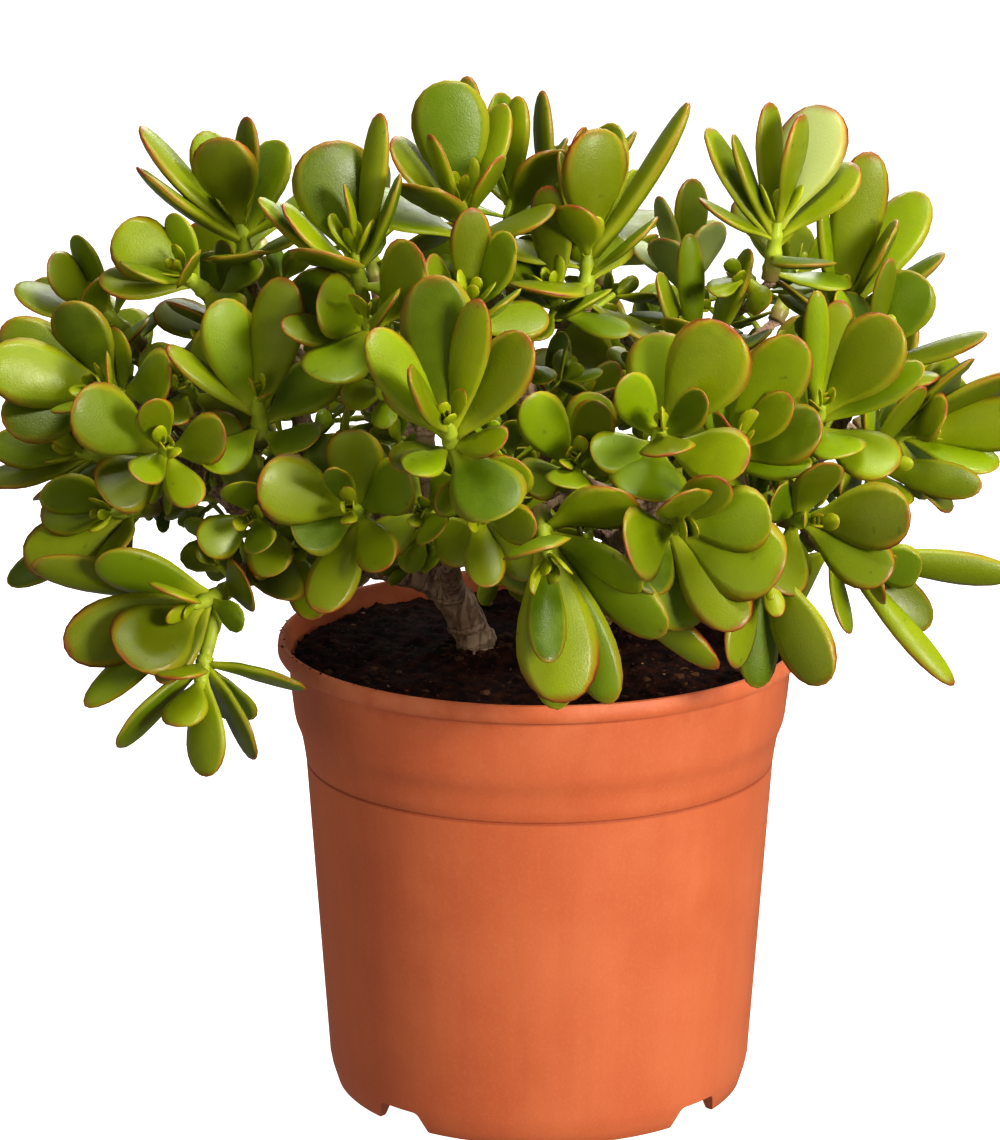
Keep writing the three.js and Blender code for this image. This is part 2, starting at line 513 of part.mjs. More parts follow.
// ------------------------------------------------------------ leaves seen in front
for (const head of heads) {
  head.directions = [];
  for (const [across, up, nearer, width] of head.shown) {
    const leafTip = seen([across, up, head.place[2] - nearer]);
    const reach = leafTip.clone().sub(head.tip);
    const open = head.grow.angleTo(reach);
    const below = Math.min(ROOT_BELOW_TIP + ROOT_BELOW_OPEN * open, head.reach);
    const root = head.tip.clone().addScaledVector(head.grow, -below);
    const along = leafTip.clone().sub(root);
    const length = along.length();
    along.normalize();
    head.directions.push(along);
    growLeaf(head.node, { root, along, stem: head.grow, length, width });
  }
}

// ------------------------------------------------------------ leaves by rule
for (const head of heads) {
  seedRandom(head.index);
  const side = new THREE.Vector3(0, 0, 1).cross(head.grow);
  if (side.length() < 0.1) side.set(1, 0, 0);
  side.normalize();
  const start = random() * Math.PI;
  for (let pair = 0; pair < head.pairs; pair += 1) {
    const [share, pitch, below] = PAIRS[pair];
    for (let half = 0; half < 2; half += 1) {
      const turn = start + pair * (Math.PI / 2) + half * Math.PI + jitter(TURN_JITTER);
      const open = pitch + jitter(PITCH_JITTER);
      const length = head.size * share * (1 + jitter(LENGTH_JITTER));
      const radial = side.clone().applyAxisAngle(head.grow, turn);
      const along = head.grow.clone().multiplyScalar(Math.cos(open)).addScaledVector(radial, Math.sin(open));
      const taken = head.directions.some((other) => other.angleTo(along) < LEAVES_APART);
      if (taken) continue;
      const root = head.tip.clone().addScaledVector(head.grow, -Math.min(below, head.reach));
      const width = length * WIDTH_OF_LENGTH * (pair === 0 ? YOUNG_NARROWNESS : 1);
      growLeaf(head.node, { root, along, stem: head.grow, length, width });
    }
  }
}

// ------------------------------------------------------------ colours and pieces
const plastic = new THREE.MeshStandardMaterial({ color: 0xd9703f, roughness: 0.6, metalness: 0 });
const peat = new THREE.MeshStandardMaterial({ color: 0x2b1d17, roughness: 1, metalness: 0 });
const bark = new THREE.MeshStandardMaterial({ color: 0x8f7c66, roughness: 0.9, metalness: 0 });
const leafGreen = new THREE.MeshStandardMaterial({ color: 0x7fa02c, roughness: 0.4, metalness: 0 });

addPiece('pot', buildPot(), plastic);
addPiece('soil', buildSoil(soilHoles), peat);
for (const [name, solids] of Object.entries(trunks)) {
  addPiece(name, solids.reduce((whole, solid) => whole.add(solid)), bark);
}
for (const node of nodes) {
  const solids = [...node.stems, ...node.leaves];
  addPiece(node.name, solids.reduce((whole, solid) => whole.add(solid)), leafGreen);
}

export default group;
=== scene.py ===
# %% [markdown]
# # A potted jade plant
# The plant is a succulent: two woody trunks rise out of a nursery pot full of
# peat, fork again and again, and end in some fifty green shoots.  Each shoot
# carries thick, spoon-shaped leaves in pairs, and each pair stands across the
# one below it.
#
# The solid model has every piece at its real size already.  This lesson loads
# it as a fixed frame and dresses it: smooth leaves with red margins in place of
# the faceted ones, bark with leaf scars, a turned pot and crumbly soil.

# %% Load the frame
import math
from random import Random

import bpy
from mathutils import Matrix, Vector, noise
from mathutils.kdtree import KDTree


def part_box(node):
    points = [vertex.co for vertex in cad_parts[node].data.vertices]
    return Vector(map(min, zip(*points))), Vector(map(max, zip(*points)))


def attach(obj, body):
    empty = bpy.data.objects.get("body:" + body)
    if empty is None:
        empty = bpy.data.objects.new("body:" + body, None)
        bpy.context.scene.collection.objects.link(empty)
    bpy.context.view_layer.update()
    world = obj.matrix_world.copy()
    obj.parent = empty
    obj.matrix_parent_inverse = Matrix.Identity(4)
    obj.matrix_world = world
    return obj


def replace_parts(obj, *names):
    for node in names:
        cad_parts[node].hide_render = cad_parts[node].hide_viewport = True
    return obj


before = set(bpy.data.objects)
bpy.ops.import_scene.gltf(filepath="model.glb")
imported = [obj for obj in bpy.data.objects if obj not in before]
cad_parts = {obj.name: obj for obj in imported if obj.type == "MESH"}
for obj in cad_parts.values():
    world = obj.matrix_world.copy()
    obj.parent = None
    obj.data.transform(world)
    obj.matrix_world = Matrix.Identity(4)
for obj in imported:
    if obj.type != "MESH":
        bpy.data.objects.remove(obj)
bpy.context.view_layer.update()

MM = 0.001
scene = bpy.context.scene
print("nodes in the frame:", len(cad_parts))

# %% [markdown]
# ## Working tidily with operators
# Operators act on whatever is selected, and a freshly loaded model is selected
# all over.  So every new piece starts with an empty selection.  Blender's
# primitives are added selected and active, which is all that the edit-mode
# tools need.  When a piece is done, its object goes back to the origin with its
# place in its mesh, so that patterns on Object coordinates keep still.

# %% Small helpers
def deselect_all():
    if bpy.context.object and bpy.context.object.mode != "OBJECT":
        bpy.ops.object.mode_set(mode="OBJECT")
    bpy.ops.object.select_all(action="DESELECT")


def make_active(piece):
    deselect_all()
    piece.select_set(True)
    bpy.context.view_layer.objects.active = piece


def settle(piece, name):
    """Name a piece and move its place into its mesh."""
    make_active(piece)
    bpy.ops.object.transform_apply(location=True, rotation=True, scale=True)
    piece.name = name
    piece.data.name = name
    return piece


deselect_all()
print("pieces still selected:", len(bpy.context.selected_objects))

# %% [markdown]
# ## The camera
# The photograph was taken with a long lens from a little above the plant, so
# the rim of the pot shows as a flat ellipse.  A long lens far away keeps the
# front leaves from looking too large.  The eye stands 1.6 m in front of the
# pot's axis; the same eye was used to read where the leaves are, below.

# %% Camera
EYE = Vector((0.0, -1.6, 0.611))
LOOK_DOWN = 0.256  # radians below level
LOOK_LEFT = 0.009  # radians, which puts the pot a little right of the middle
FOCAL_LENGTH = 144.7  # mm
SENSOR_WIDTH = 36  # mm

deselect_all()
bpy.ops.object.camera_add(
    location=EYE, rotation=(math.pi / 2 - LOOK_DOWN, 0, LOOK_LEFT))
camera = bpy.context.object
camera.name = "camera"
camera.data.lens = FOCAL_LENGTH
camera.data.sensor_width = SENSOR_WIDTH
camera.data.dof.use_dof = False
scene.camera = camera
print("camera height above the floor, mm:", round(EYE.z / MM))

# %% [markdown]
# ## Light
# The photograph is a studio picture on white: a soft key light from the upper
# right, a low and warm fill from the front left, and weaker light from above
# and behind that sets the leaves off from one another.  Area lights give soft
# edges, the softer the larger they are.  All aim at the middle of the plant, so
# a lamp is set by its place, size, power and colour alone.

# %% Light
PLANT_MIDDLE = Vector((0, 0, 0.24))
LAMPS = [  # (name, place in m, width in m, power in W, colour)
    ("key_light", (1.15, -1.3, 0.72), 0.5, 33, (1, 0.95, 0.87)),
    ("top_light", (0.35, -0.25, 1.35), 0.5, 13, (1, 0.98, 0.94)),
    ("fill_light", (-1.0, -1.6, 0.3), 1.2, 6.5, (1, 0.84, 0.66)),
    ("back_light", (0.2, 1.2, 1.1), 0.8, 12, (1, 1, 1)),
]


def area_light(name, place, width, power, colour):
    deselect_all()
    aim = (PLANT_MIDDLE - Vector(place)).to_track_quat("-Z", "Y")
    bpy.ops.object.light_add(type="AREA", location=place, rotation=aim.to_euler())
    lamp = bpy.context.object
    lamp.name = name
    lamp.data.size = width
    lamp.data.energy = power
    lamp.data.color = colour
    print(name, "stands, m from the plant:", round((PLANT_MIDDLE - lamp.location).length, 2))


for lamp_values in LAMPS:
    area_light(*lamp_values)

# %% [markdown]
# The world around is a plain, dim white that opens the shadows.  The view keeps
# colours as a screen shows them, with a little more contrast, as in the
# photograph.

# %% World and view
WORLD_BRIGHTNESS = 0.24

world = bpy.data.worlds.new("studio_white")
scene.world = world
world.use_nodes = True
background = world.node_tree.nodes["Background"]
background.inputs["Color"].default_value = (1, 1, 1, 1)
background.inputs["Strength"].default_value = WORLD_BRIGHTNESS
scene.view_settings.view_transform = "Standard"
scene.view_settings.look = "Medium High Contrast"
print("world brightness:", WORLD_BRIGHTNESS)

# %% [markdown]
# ## Materials: one builder for all
# A material here is a Principled shader with its colour and bump worked out
# from noise on Object coordinates, or from values stored on the mesh.  A small
# builder keeps the node wiring short: it makes nodes and joins sockets by name.

# %% Material builder
class Finish:
    """A node material under construction."""

    def __init__(self, name, **fixed):
        self.material = bpy.data.materials.new(name)
        self.material.use_nodes = True
        self.nodes = self.material.node_tree.nodes
        self.links = self.material.node_tree.links
        self.shader = self.nodes["Principled BSDF"]
        for socket, value in fixed.items():
            self.shader.inputs[socket.replace("_", " ")].default_value = value
        self.place = self.add("ShaderNodeTexCoord").outputs["Object"]

    def add(self, kind, inputs=None, **settings):
        node = self.nodes.new(kind)
        for key, value in settings.items():
            setattr(node, key, value)
        for socket, value in (inputs or {}).items():
            if isinstance(value, bpy.types.NodeSocket):
                self.links.new(value, node.inputs[socket])
            else:
                node.inputs[socket].default_value = value
        return node

    def noise(self, scale, detail=2.0, roughness=0.5, stretch=(1, 1, 1)):
        where = self.add("ShaderNodeMapping", {"Vector": self.place, "Scale": stretch})
        node = self.add("ShaderNodeTexNoise", {
            "Vector": where.outputs["Vector"], "Scale": scale,
            "Detail": detail, "Roughness": roughness})
        return node.outputs["Fac"]

    def value(self, name):
        return self.add("ShaderNodeAttribute", attribute_name=name).outputs["Fac"]

    def ramp(self, factor, low, high, to_low=0.0, to_high=1.0, smooth=True):
        """Where factor goes from low to high, the result goes from to_low to to_high."""
        node = self.add("ShaderNodeMapRange", {
            "Value": factor, "From Min": low, "From Max": high,
            "To Min": to_low, "To Max": to_high},
            interpolation_type="SMOOTHSTEP" if smooth else "LINEAR")
        return node.outputs["Result"]

    def maths(self, operation, first, second):
        return self.add("ShaderNodeMath", {0: first, 1: second}, operation=operation).outputs[0]

    def product(self, result, *factors):
        for factor in factors:
            result = self.maths("MULTIPLY", result, factor)
        return result

    def mix(self, factor, first, second):
        """The colour first where factor is 0, and second where it is 1."""
        return self.add("ShaderNodeMix", {0: factor, 6: first, 7: second}, data_type="RGBA").outputs[2]

    def bump(self, height, distance, strength, under=None):
        inputs = {"Height": height, "Distance": distance, "Strength": strength}
        if under is not None:
            inputs["Normal"] = under
        return self.add("ShaderNodeBump", inputs).outputs["Normal"]

    def set(self, socket, value):
        self.links.new(value, self.shader.inputs[socket])

    def give_to(self, piece):
        """Make this the only material of a piece."""
        piece.data.materials.clear()
        piece.data.materials.append(self.material)
        print(piece.name, "is finished in", self.material.name, "with nodes:", len(self.nodes))


print("steps of the material builder:", [step for step in vars(Finish) if not step.startswith("_")])

# %% [markdown]
# Colours are written as they look on a screen, 0 to 255, because that is how one
# reads them off a photograph.  Blender wants linear values, so they are bent by
# a screen's gamma.

# %% Colours as seen
SCREEN_GAMMA = 2.2


def rgb(red, green, blue):
    return tuple((channel / 255) ** SCREEN_GAMMA for channel in (red, green, blue)) + (1.0,)


WHITE = rgb(255, 255, 255)
print("middle grey in linear values:", [round(value, 3) for value in rgb(128, 128, 128)])

# %% [markdown]
# ## The floor
# The photograph has no visible floor, only white.  A wide plane of pale paper
# stands for it, with the faint clouds that real paper has.  It glows a little,
# so that it looks white in dim light.  It is left out of the light that bounces
# and out of reflections, or the glow would brighten the pot from below.

# %% Floor
FLOOR_SIZE = 8  # m
FLOOR_GLOW = 0.95

deselect_all()
bpy.ops.mesh.primitive_plane_add(size=FLOOR_SIZE)
floor = bpy.context.object
floor.name = "floor"
paper = Finish("white_paper", Roughness=0.9, Emission_Color=WHITE, Emission_Strength=FLOOR_GLOW)
paper.set("Base Color", paper.mix(paper.noise(3.0), rgb(190, 189, 188), rgb(184, 183, 182)))
paper.give_to(floor)
floor.visible_diffuse = False
floor.visible_glossy = False

# %% [markdown]
# ## The pot
# A nursery pot is injection-moulded plastic: one thin wall that tapers to the
# foot, steps out into a collar for stiffness and ends in a rolled lip.  It is
# round, so its section is drawn once, as a chain of extruded points, and spun
# about the upright axis.  The radii and heights are those of the solid pot; only
# the corners are rounder here.

# %% Pot section
POT_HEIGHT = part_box("pot")[1].z / MM
LIP_RADIUS = max(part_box("pot")[1].x, -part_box("pot")[0].x) / MM
FLOOR_UNDERSIDE = 8  # mm
SECTION = [  # (radius, height) in mm, from under the centre pad over the lip to the inside
    (0, 0), (13.4, 0), (14.2, 0.5), (15, 7.4), (15.6, FLOOR_UNDERSIDE),
    (69.6, FLOOR_UNDERSIDE), (70.4, 7.4), (71.2, 0.4), (71.8, 0), (74.0, 0), (74.5, 0.5),
    (75.6, 4), (76.6, 7.4), (77.3, 11), (79.5, 43), (82.2, 82), (84.9, 121.6), (85.0, 122.9),
    (84.7, 123.3), (85.1, 123.8), (85.7, 128), (86.4, 132.0), (87.0, 134.4), (87.9, 136.6),
    (88.7, 138.8), (89.2, 141.4), (90.3, 151), (91.0, 160), (91.2, 161.3), (92.2, 161.7),
    (94.2, 162.3), (94.9, 163.4), (LIP_RADIUS, 165), (94.7, 167.2), (94.1, 168.4),
    (93.3, POT_HEIGHT), (92.5, 168.3), (91.9, 167), (90.4, 163), (89.3, 158), (88.4, 148),
    (87.6, 140), (86.9, 137.8), (85.1, 134.6), (84.6, 132), (83.2, 122), (79.4, 66),
    (75.6, 13), (74.4, 10.6), (72, 9.8), (0, 9.8),
]
print("pot height and lip radius, mm:", round(POT_HEIGHT, 1), round(LIP_RADIUS, 1))

# %% [markdown]
# A profile is grown from one vertex by extruding it from point to point.  Spin
# sweeps it round, the seam and the points on the axis are merged, and the faces
# are turned outwards.  The green stems are turned in the same way further down.

# %% Turn the pot
POT_STEPS = 128
MERGE_WITHIN = 0.00002  # m


def extrude_chain(points):
    """A chain of edges through points in the XZ plane, grown from one vertex."""
    deselect_all()
    bpy.ops.mesh.primitive_plane_add(size=0.001)
    chain = bpy.context.object
    bpy.ops.object.mode_set(mode="EDIT")
    bpy.ops.mesh.select_all(action="SELECT")
    bpy.ops.mesh.merge(type="CENTER")
    at = Vector((0, 0, 0))
    for radius, height in points:
        step = Vector((radius * MM, 0, height * MM)) - at
        if step.length > 0:
            bpy.ops.mesh.extrude_region_move(TRANSFORM_OT_translate={"value": tuple(step)})
        at += step
    return chain


def turn_profile(points, steps, merge_within):
    """A closed body of revolution about the upright axis."""
    body = extrude_chain(points)
    bpy.ops.mesh.select_all(action="SELECT")
    bpy.ops.mesh.spin(steps=steps, angle=2 * math.pi, center=(0, 0, 0), axis=(0, 0, 1))
    bpy.ops.mesh.select_all(action="SELECT")
    bpy.ops.mesh.remove_doubles(threshold=merge_within)
    bpy.ops.mesh.normals_make_consistent(inside=False)
    bpy.ops.object.mode_set(mode="OBJECT")
    return body


pot = settle(turn_profile(SECTION, POT_STEPS, MERGE_WITHIN), "nursery_pot")
print("pot faces:", len(pot.data.polygons))

# %% [markdown]
# Water leaves the pot through round holes in the raised floor and runs out
# through four notches in the foot.  Each notch is a box whose top is drawn in,
# subtracted with a Boolean modifier, as a mould's insert would leave it.

# %% Foot notches
POT_TURN = 0.065  # radians, as the notches stand in front
NOTCH_COUNT = 4
NOTCH_SIZE = (0.022, 0.031, 0.0148)  # m, and half of its height lies under the foot
NOTCH_TOP = 0.55  # of the width at the foot
NOTCH_ROUNDING = 0.0015  # m
FOOT_MIDDLE = 0.073  # m from the axis


def pick(piece, wanted):
    """In edit mode, select the vertices for which wanted(place) is true."""
    bpy.ops.mesh.select_mode(type="VERT")
    bpy.ops.mesh.select_all(action="DESELECT")
    bpy.ops.object.mode_set(mode="OBJECT")
    for vertex in piece.data.vertices:
        vertex.select = wanted(vertex.co)
    bpy.ops.object.mode_set(mode="EDIT")


def cut_away(piece, tool):
    make_active(piece)
    boolean = piece.modifiers.new("cut", "BOOLEAN")
    boolean.operation = "DIFFERENCE"
    boolean.solver = "EXACT"
    boolean.object = tool
    bpy.ops.object.modifier_apply(modifier=boolean.name)
    bpy.data.objects.remove(tool)


for index in range(NOTCH_COUNT):
    deselect_all()
    bpy.ops.mesh.primitive_cube_add(size=1)
    cutter = bpy.context.object
    bpy.ops.object.mode_set(mode="EDIT")
    bpy.ops.mesh.select_all(action="SELECT")
    bpy.ops.transform.resize(value=NOTCH_SIZE)
    pick(cutter, lambda place: place.z > 0)
    bpy.ops.transform.resize(value=(1, NOTCH_TOP, 1))
    bpy.ops.mesh.bevel(offset=NOTCH_ROUNDING, segments=3)
    bpy.ops.object.mode_set(mode="OBJECT")
    angle = math.pi / 4 + POT_TURN + index * math.pi / 2
    cutter.matrix_world = Matrix.Rotation(angle, 4, "Z") @ Matrix.Translation((0, FOOT_MIDDLE, 0))
    cutter.rotation_euler.z += math.pi / 2
    cut_away(pot, cutter)
print("pot faces with its notches:", len(pot.data.polygons))

# %% [markdown]
# The drainage holes are plain cylinders cut through the raised floor.  Shading
# is smooth across shallow angles only, so the notches keep crisp edges.

# %% Drainage holes
DRAIN_COUNT = 4
DRAIN_RADIUS = 0.005  # m
DRAIN_CIRCLE = 0.05  # m from the axis
DRAIN_HEIGHT = 0.01  # m, middle of the cutting cylinder
DRAIN_DEPTH = 0.03  # m, its length
CRISP_FROM = math.radians(40)

for index in range(DRAIN_COUNT):
    deselect_all()
    angle = POT_TURN + index * 2 * math.pi / DRAIN_COUNT
    bpy.ops.mesh.primitive_cylinder_add(
        vertices=24, radius=DRAIN_RADIUS, depth=DRAIN_DEPTH,
        location=(DRAIN_CIRCLE * math.cos(angle), DRAIN_CIRCLE * math.sin(angle), DRAIN_HEIGHT))
    cut_away(pot, bpy.context.object)

make_active(pot)
bpy.ops.object.shade_smooth_by_angle(angle=CRISP_FROM)
print("pot faces with its drainage holes:", len(pot.data.polygons))

# %% [markdown]
# The plastic is a matte terracotta orange.  Moulded plastic is never one flat
# colour: it has faint clouds and a fine vertical drag from the mould, and it is
# lighter in patches towards the lip.  All of that is low-contrast noise, and the
# bump stays under a tenth of a millimetre.

# %% Terracotta plastic
LIGHTER_FROM, LIGHTER_TO = 0.15, 0.168  # m above the foot
# A thin dark line of painted shade lies in the small groove round the wall.
GROOVE_SHADE_LOW, GROOVE_SHADE_HIGH = (0.1222, 0.1231), (0.1243, 0.1234)  # m above the foot

plastic = Finish("terracotta_plastic", Roughness=0.62, IOR=1.45, Specular_IOR_Level=0.6)
clouds = plastic.noise(22, 5, 0.62)
drag = plastic.noise(90, 3, 0.6, (1, 1, 0.06))
grain = plastic.noise(900, 2, 0.6)
height_up = plastic.add("ShaderNodeSeparateXYZ", {0: plastic.place}).outputs["Z"]
# Towards the lip the plastic is lighter in cloud-shaped patches.
lighter_near_lip = plastic.product(
    plastic.ramp(height_up, LIGHTER_FROM, LIGHTER_TO, 0, 0.45), plastic.ramp(clouds, 0.4, 0.7))
# Painted shade: the small groove is darkened to a thin red-brown line.
groove_shade = plastic.product(
    plastic.ramp(height_up, *GROOVE_SHADE_LOW), plastic.ramp(height_up, *GROOVE_SHADE_HIGH), 0.5)
colour = plastic.mix(plastic.ramp(clouds, 0.3, 0.72), rgb(198, 102, 62), rgb(208, 114, 72))
colour = plastic.mix(plastic.ramp(drag, 0.35, 0.75, 0, 0.35), colour, rgb(190, 94, 58))
colour = plastic.mix(plastic.ramp(grain, 0.45, 0.8, 0, 0.22), colour, rgb(218, 132, 92))
colour = plastic.mix(lighter_near_lip, colour, rgb(238, 158, 122))
plastic.set("Base Color", plastic.mix(groove_shade, colour, rgb(120, 48, 28)))
plastic.set("Roughness", plastic.ramp(clouds, 0.3, 0.7, 0.55, 0.7))
plastic.set("Normal", plastic.bump(drag, 0.0002, 0.35, plastic.bump(grain, 0.00012, 0.5)))
plastic.give_to(pot)
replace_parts(pot, "pot")
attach(pot, "root")

# %% [markdown]
# ## The soil
# The pot is filled with dark peat almost to the lip.  A disc with an even grid
# takes displacement well, so a circle is filled with a grid, subdivided, and
# lifted by three cloud patterns: long swells, coarse grains and fine pores.

# %% Soil surface
SOIL_TOP = 161  # mm
SOIL_RADIUS = 88.6  # mm
SOIL_RELIEF = [  # (pattern, its size in m, its depth, its height in m)
    ("soil_swells", 0.03, 1, 0.0065),
    ("soil_grains", 0.004, 3, 0.0042),
    ("soil_pores", 0.0016, 2, 0.0016),
]


def clouds_texture(name, size, depth):
    texture = bpy.data.textures.new(name, "CLOUDS")
    texture.noise_scale = size
    texture.noise_depth = depth
    return texture


def displace(piece, texture, strength, direction="Z"):
    make_active(piece)
    lift = piece.modifiers.new("lift", "DISPLACE")
    lift.texture = texture
    lift.texture_coords = "LOCAL"
    lift.direction = direction
    lift.strength = strength
    bpy.ops.object.modifier_apply(modifier=lift.name)


deselect_all()
bpy.ops.mesh.primitive_circle_add(
    vertices=128, radius=SOIL_RADIUS * MM, location=(0, 0, SOIL_TOP * MM))
soil = bpy.context.object
bpy.ops.object.mode_set(mode="EDIT")
bpy.ops.mesh.select_all(action="SELECT")
bpy.ops.mesh.fill_grid(span=32)
bpy.ops.mesh.select_all(action="SELECT")
bpy.ops.mesh.subdivide(number_cuts=3)
bpy.ops.object.mode_set(mode="OBJECT")
settle(soil, "peat")
for pattern, size, depth, strength in SOIL_RELIEF:
    displace(soil, clouds_texture(pattern, size, depth), strength)
print("faces on the soil's surface:", len(soil.data.polygons))

# %% [markdown]
# Peat is firmed up round each trunk, so the ground rises there in a low mound:
# the vertices near a trunk are moved up, and proportional editing takes their
# neighbours along.  The rim of the surface is then drawn down along the pot's
# wall, ring by ring, and closed, so the plug is one closed body.

# %% Mounds and sides
FEET = [(-23.0, -5.0), (21.5, 22.0)]  # mm, where the trunks come out of the soil
MOUND = 4.5  # mm high
MOUND_TOP = 0.011  # m, radius that rises in full
MOUND_SLOPE = 0.014  # m, width of the slope round it
SIDE_RINGS = [(86.2, 139), (82.3, 121), (74.6, 13), (71, 10.2)]  # (radius, height) in mm

make_active(soil)
bpy.ops.object.mode_set(mode="EDIT")
for x, y in FEET:
    pick(soil, lambda place: math.hypot(place.x - x * MM, place.y - y * MM) < MOUND_TOP)
    bpy.ops.transform.translate(
        value=(0, 0, MOUND * MM), use_proportional_edit=True,
        proportional_edit_falloff="SMOOTH", proportional_size=MOUND_SLOPE)
bpy.ops.mesh.select_mode(type="EDGE")
bpy.ops.mesh.select_all(action="DESELECT")
bpy.ops.mesh.select_non_manifold(extend=False, use_boundary=True)
ring_radius = SOIL_RADIUS
for radius, height in SIDE_RINGS:
    bpy.ops.mesh.extrude_edges_move()
    bpy.ops.transform.resize(
        value=(radius / ring_radius, radius / ring_radius, 0), center_override=(0, 0, height * MM))
    ring_radius = radius
bpy.ops.mesh.edge_face_add()
bpy.ops.mesh.select_all(action="SELECT")
bpy.ops.mesh.normals_make_consistent(inside=False)
bpy.ops.object.mode_set(mode="OBJECT")
bpy.ops.object.shade_smooth()
print("soil faces:", len(soil.data.polygons))

# %% [markdown]
# Loose crumbs lie on the peat.  One rough grain is modelled from an icosphere,
# pressed flat and roughened; every crumb is a copy with a turn, a tilt and a size
# of its own.  A number stored on its vertices says how light it is, because bits
# of bark and root are paler than peat.

# %% One grain
GRAIN_SHAPE = (1, 0.72, 0.55)
GRAIN_ROUGHNESS = 0.22
MOST_TILT = 0.5  # radians
crumb_dice = Random(19)


def add_value(mesh, name, values):
    """Store one number for each vertex, for a material to read."""
    attribute = mesh.attributes.get(name) or mesh.attributes.new(name, "FLOAT", "POINT")
    attribute.data.foreach_set("value", values)


def drop_grain(place, size, light):
    """A copy of the grain, size mm wide each side of place."""
    crumb = grain.copy()
    crumb.data = grain.data.copy()
    scene.collection.objects.link(crumb)
    turn = Matrix.Rotation(crumb_dice.uniform(0, 2 * math.pi), 4, "Z")
    tilt = Matrix.Rotation(crumb_dice.uniform(-MOST_TILT, MOST_TILT), 4, "X")
    crumb.data.transform(Matrix.Translation(place) @ turn @ tilt @ Matrix.Scale(size * MM, 4))
    add_value(crumb.data, "light_bit", [light] * len(crumb.data.vertices))
    return crumb


deselect_all()
bpy.ops.mesh.primitive_ico_sphere_add(subdivisions=1, radius=1)
grain = bpy.context.object
bpy.ops.object.mode_set(mode="EDIT")
bpy.ops.mesh.select_all(action="SELECT")
bpy.ops.transform.resize(value=GRAIN_SHAPE)
bpy.ops.transform.vertex_random(offset=GRAIN_ROUGHNESS, seed=3)
bpy.ops.object.mode_set(mode="OBJECT")
print("faces in a grain:", len(grain.data.polygons))

# %% [markdown]
# Most crumbs are scattered evenly over the soil, which takes a square root of
# the dice, or they would crowd in the middle.  More are banked against each
# trunk, where the pot was topped up, and a few were spilt on the lip.  A lookup
# tree of the soil's top finds how high the ground is at each place.

# %% Scatter the crumbs
CRUMBS = 420
CRUMB_REACH = 0.086  # m from the axis
CRUMB_SIZE = (0.6, 2.6)  # mm, and most crumbs are near the first
LIGHT_BITS = 0.09  # share of the crumbs
BANKED = 110  # against each trunk
BANKED_SIZE = (0.7, 1.9)  # mm
BANK_INNER, BANK_OUTER = 0.0065, 0.0125  # m from the trunk's middle
BANK_LIFT = 0.0004  # m
SPILT = 34
SPILT_SIZE = (0.25, 0.6)  # mm
SPILT_ABOUT = 1.15 * math.pi  # radians round the lip
LIP_INNER, LIP_OUTER = 0.0925, 0.0943  # m, the lip's crest
SIDES_BELOW = 0.15  # m: what is lower belongs to the plug's sides
FAR_AWAY = (9, 9, 9)

surface = KDTree(len(soil.data.vertices))
for vertex in soil.data.vertices:
    on_top = vertex.co.z > SIDES_BELOW
    surface.insert((vertex.co.x, vertex.co.y, 0) if on_top else FAR_AWAY, vertex.index)
surface.balance()


def on_the_ground(x, y, lift=0.0):
    nearest = surface.find((x, y, 0))[1]
    return (x, y, soil.data.vertices[nearest].co.z + lift)


add_value(soil.data, "light_bit", [0.0] * len(soil.data.vertices))
crumbs = []
for _ in range(CRUMBS):
    radius = CRUMB_REACH * math.sqrt(crumb_dice.random())
    angle = crumb_dice.uniform(0, 2 * math.pi)
    light = 1.0 if crumb_dice.random() < LIGHT_BITS else crumb_dice.uniform(0, 0.25)
    size = CRUMB_SIZE[0] + (CRUMB_SIZE[1] - CRUMB_SIZE[0]) * crumb_dice.random() ** 3
    place = on_the_ground(radius * math.cos(angle), radius * math.sin(angle))
    crumbs.append(drop_grain(place, size, light))
for foot_x, foot_y in FEET:
    for _ in range(BANKED):
        radius = crumb_dice.uniform(BANK_INNER, BANK_OUTER)
        angle = crumb_dice.uniform(0, 2 * math.pi)
        size = crumb_dice.uniform(*BANKED_SIZE)
        light = crumb_dice.uniform(0, 0.2)
        x, y = foot_x * MM + radius * math.cos(angle), foot_y * MM + radius * math.sin(angle)
        crumbs.append(drop_grain(on_the_ground(x, y, BANK_LIFT), size, light))
for _ in range(SPILT):
    angle = crumb_dice.gauss(SPILT_ABOUT, 0.5)
    radius = crumb_dice.uniform(LIP_INNER, LIP_OUTER)
    place = (radius * math.cos(angle), radius * math.sin(angle), (POT_HEIGHT - 0.1) * MM)
    crumbs.append(drop_grain(place, crumb_dice.uniform(*SPILT_SIZE), 0.1))
bpy.data.objects.remove(grain)
print("crumbs:", len(crumbs))

# %% [markdown]
# Soil and crumbs become one piece.  An object joined with others is still active
# and selected, so it is the one that gets settled and named.

# %% Join the soil
def join_all(pieces, name):
    deselect_all()
    for piece in pieces:
        piece.select_set(True)
    bpy.context.view_layer.objects.active = pieces[0]
    bpy.ops.object.join()
    return settle(bpy.context.object, name)


soil = join_all([soil] + crumbs, "peat")
print("soil faces with its crumbs:", len(soil.data.polygons))

# %% [markdown]
# Damp peat is nearly black and hardly shines.  Lumps of noise give it darker
# hollows and browner crests, finer noise the paler flecks of fibre, and the
# stored number lightens the crumbs that are bark or root.

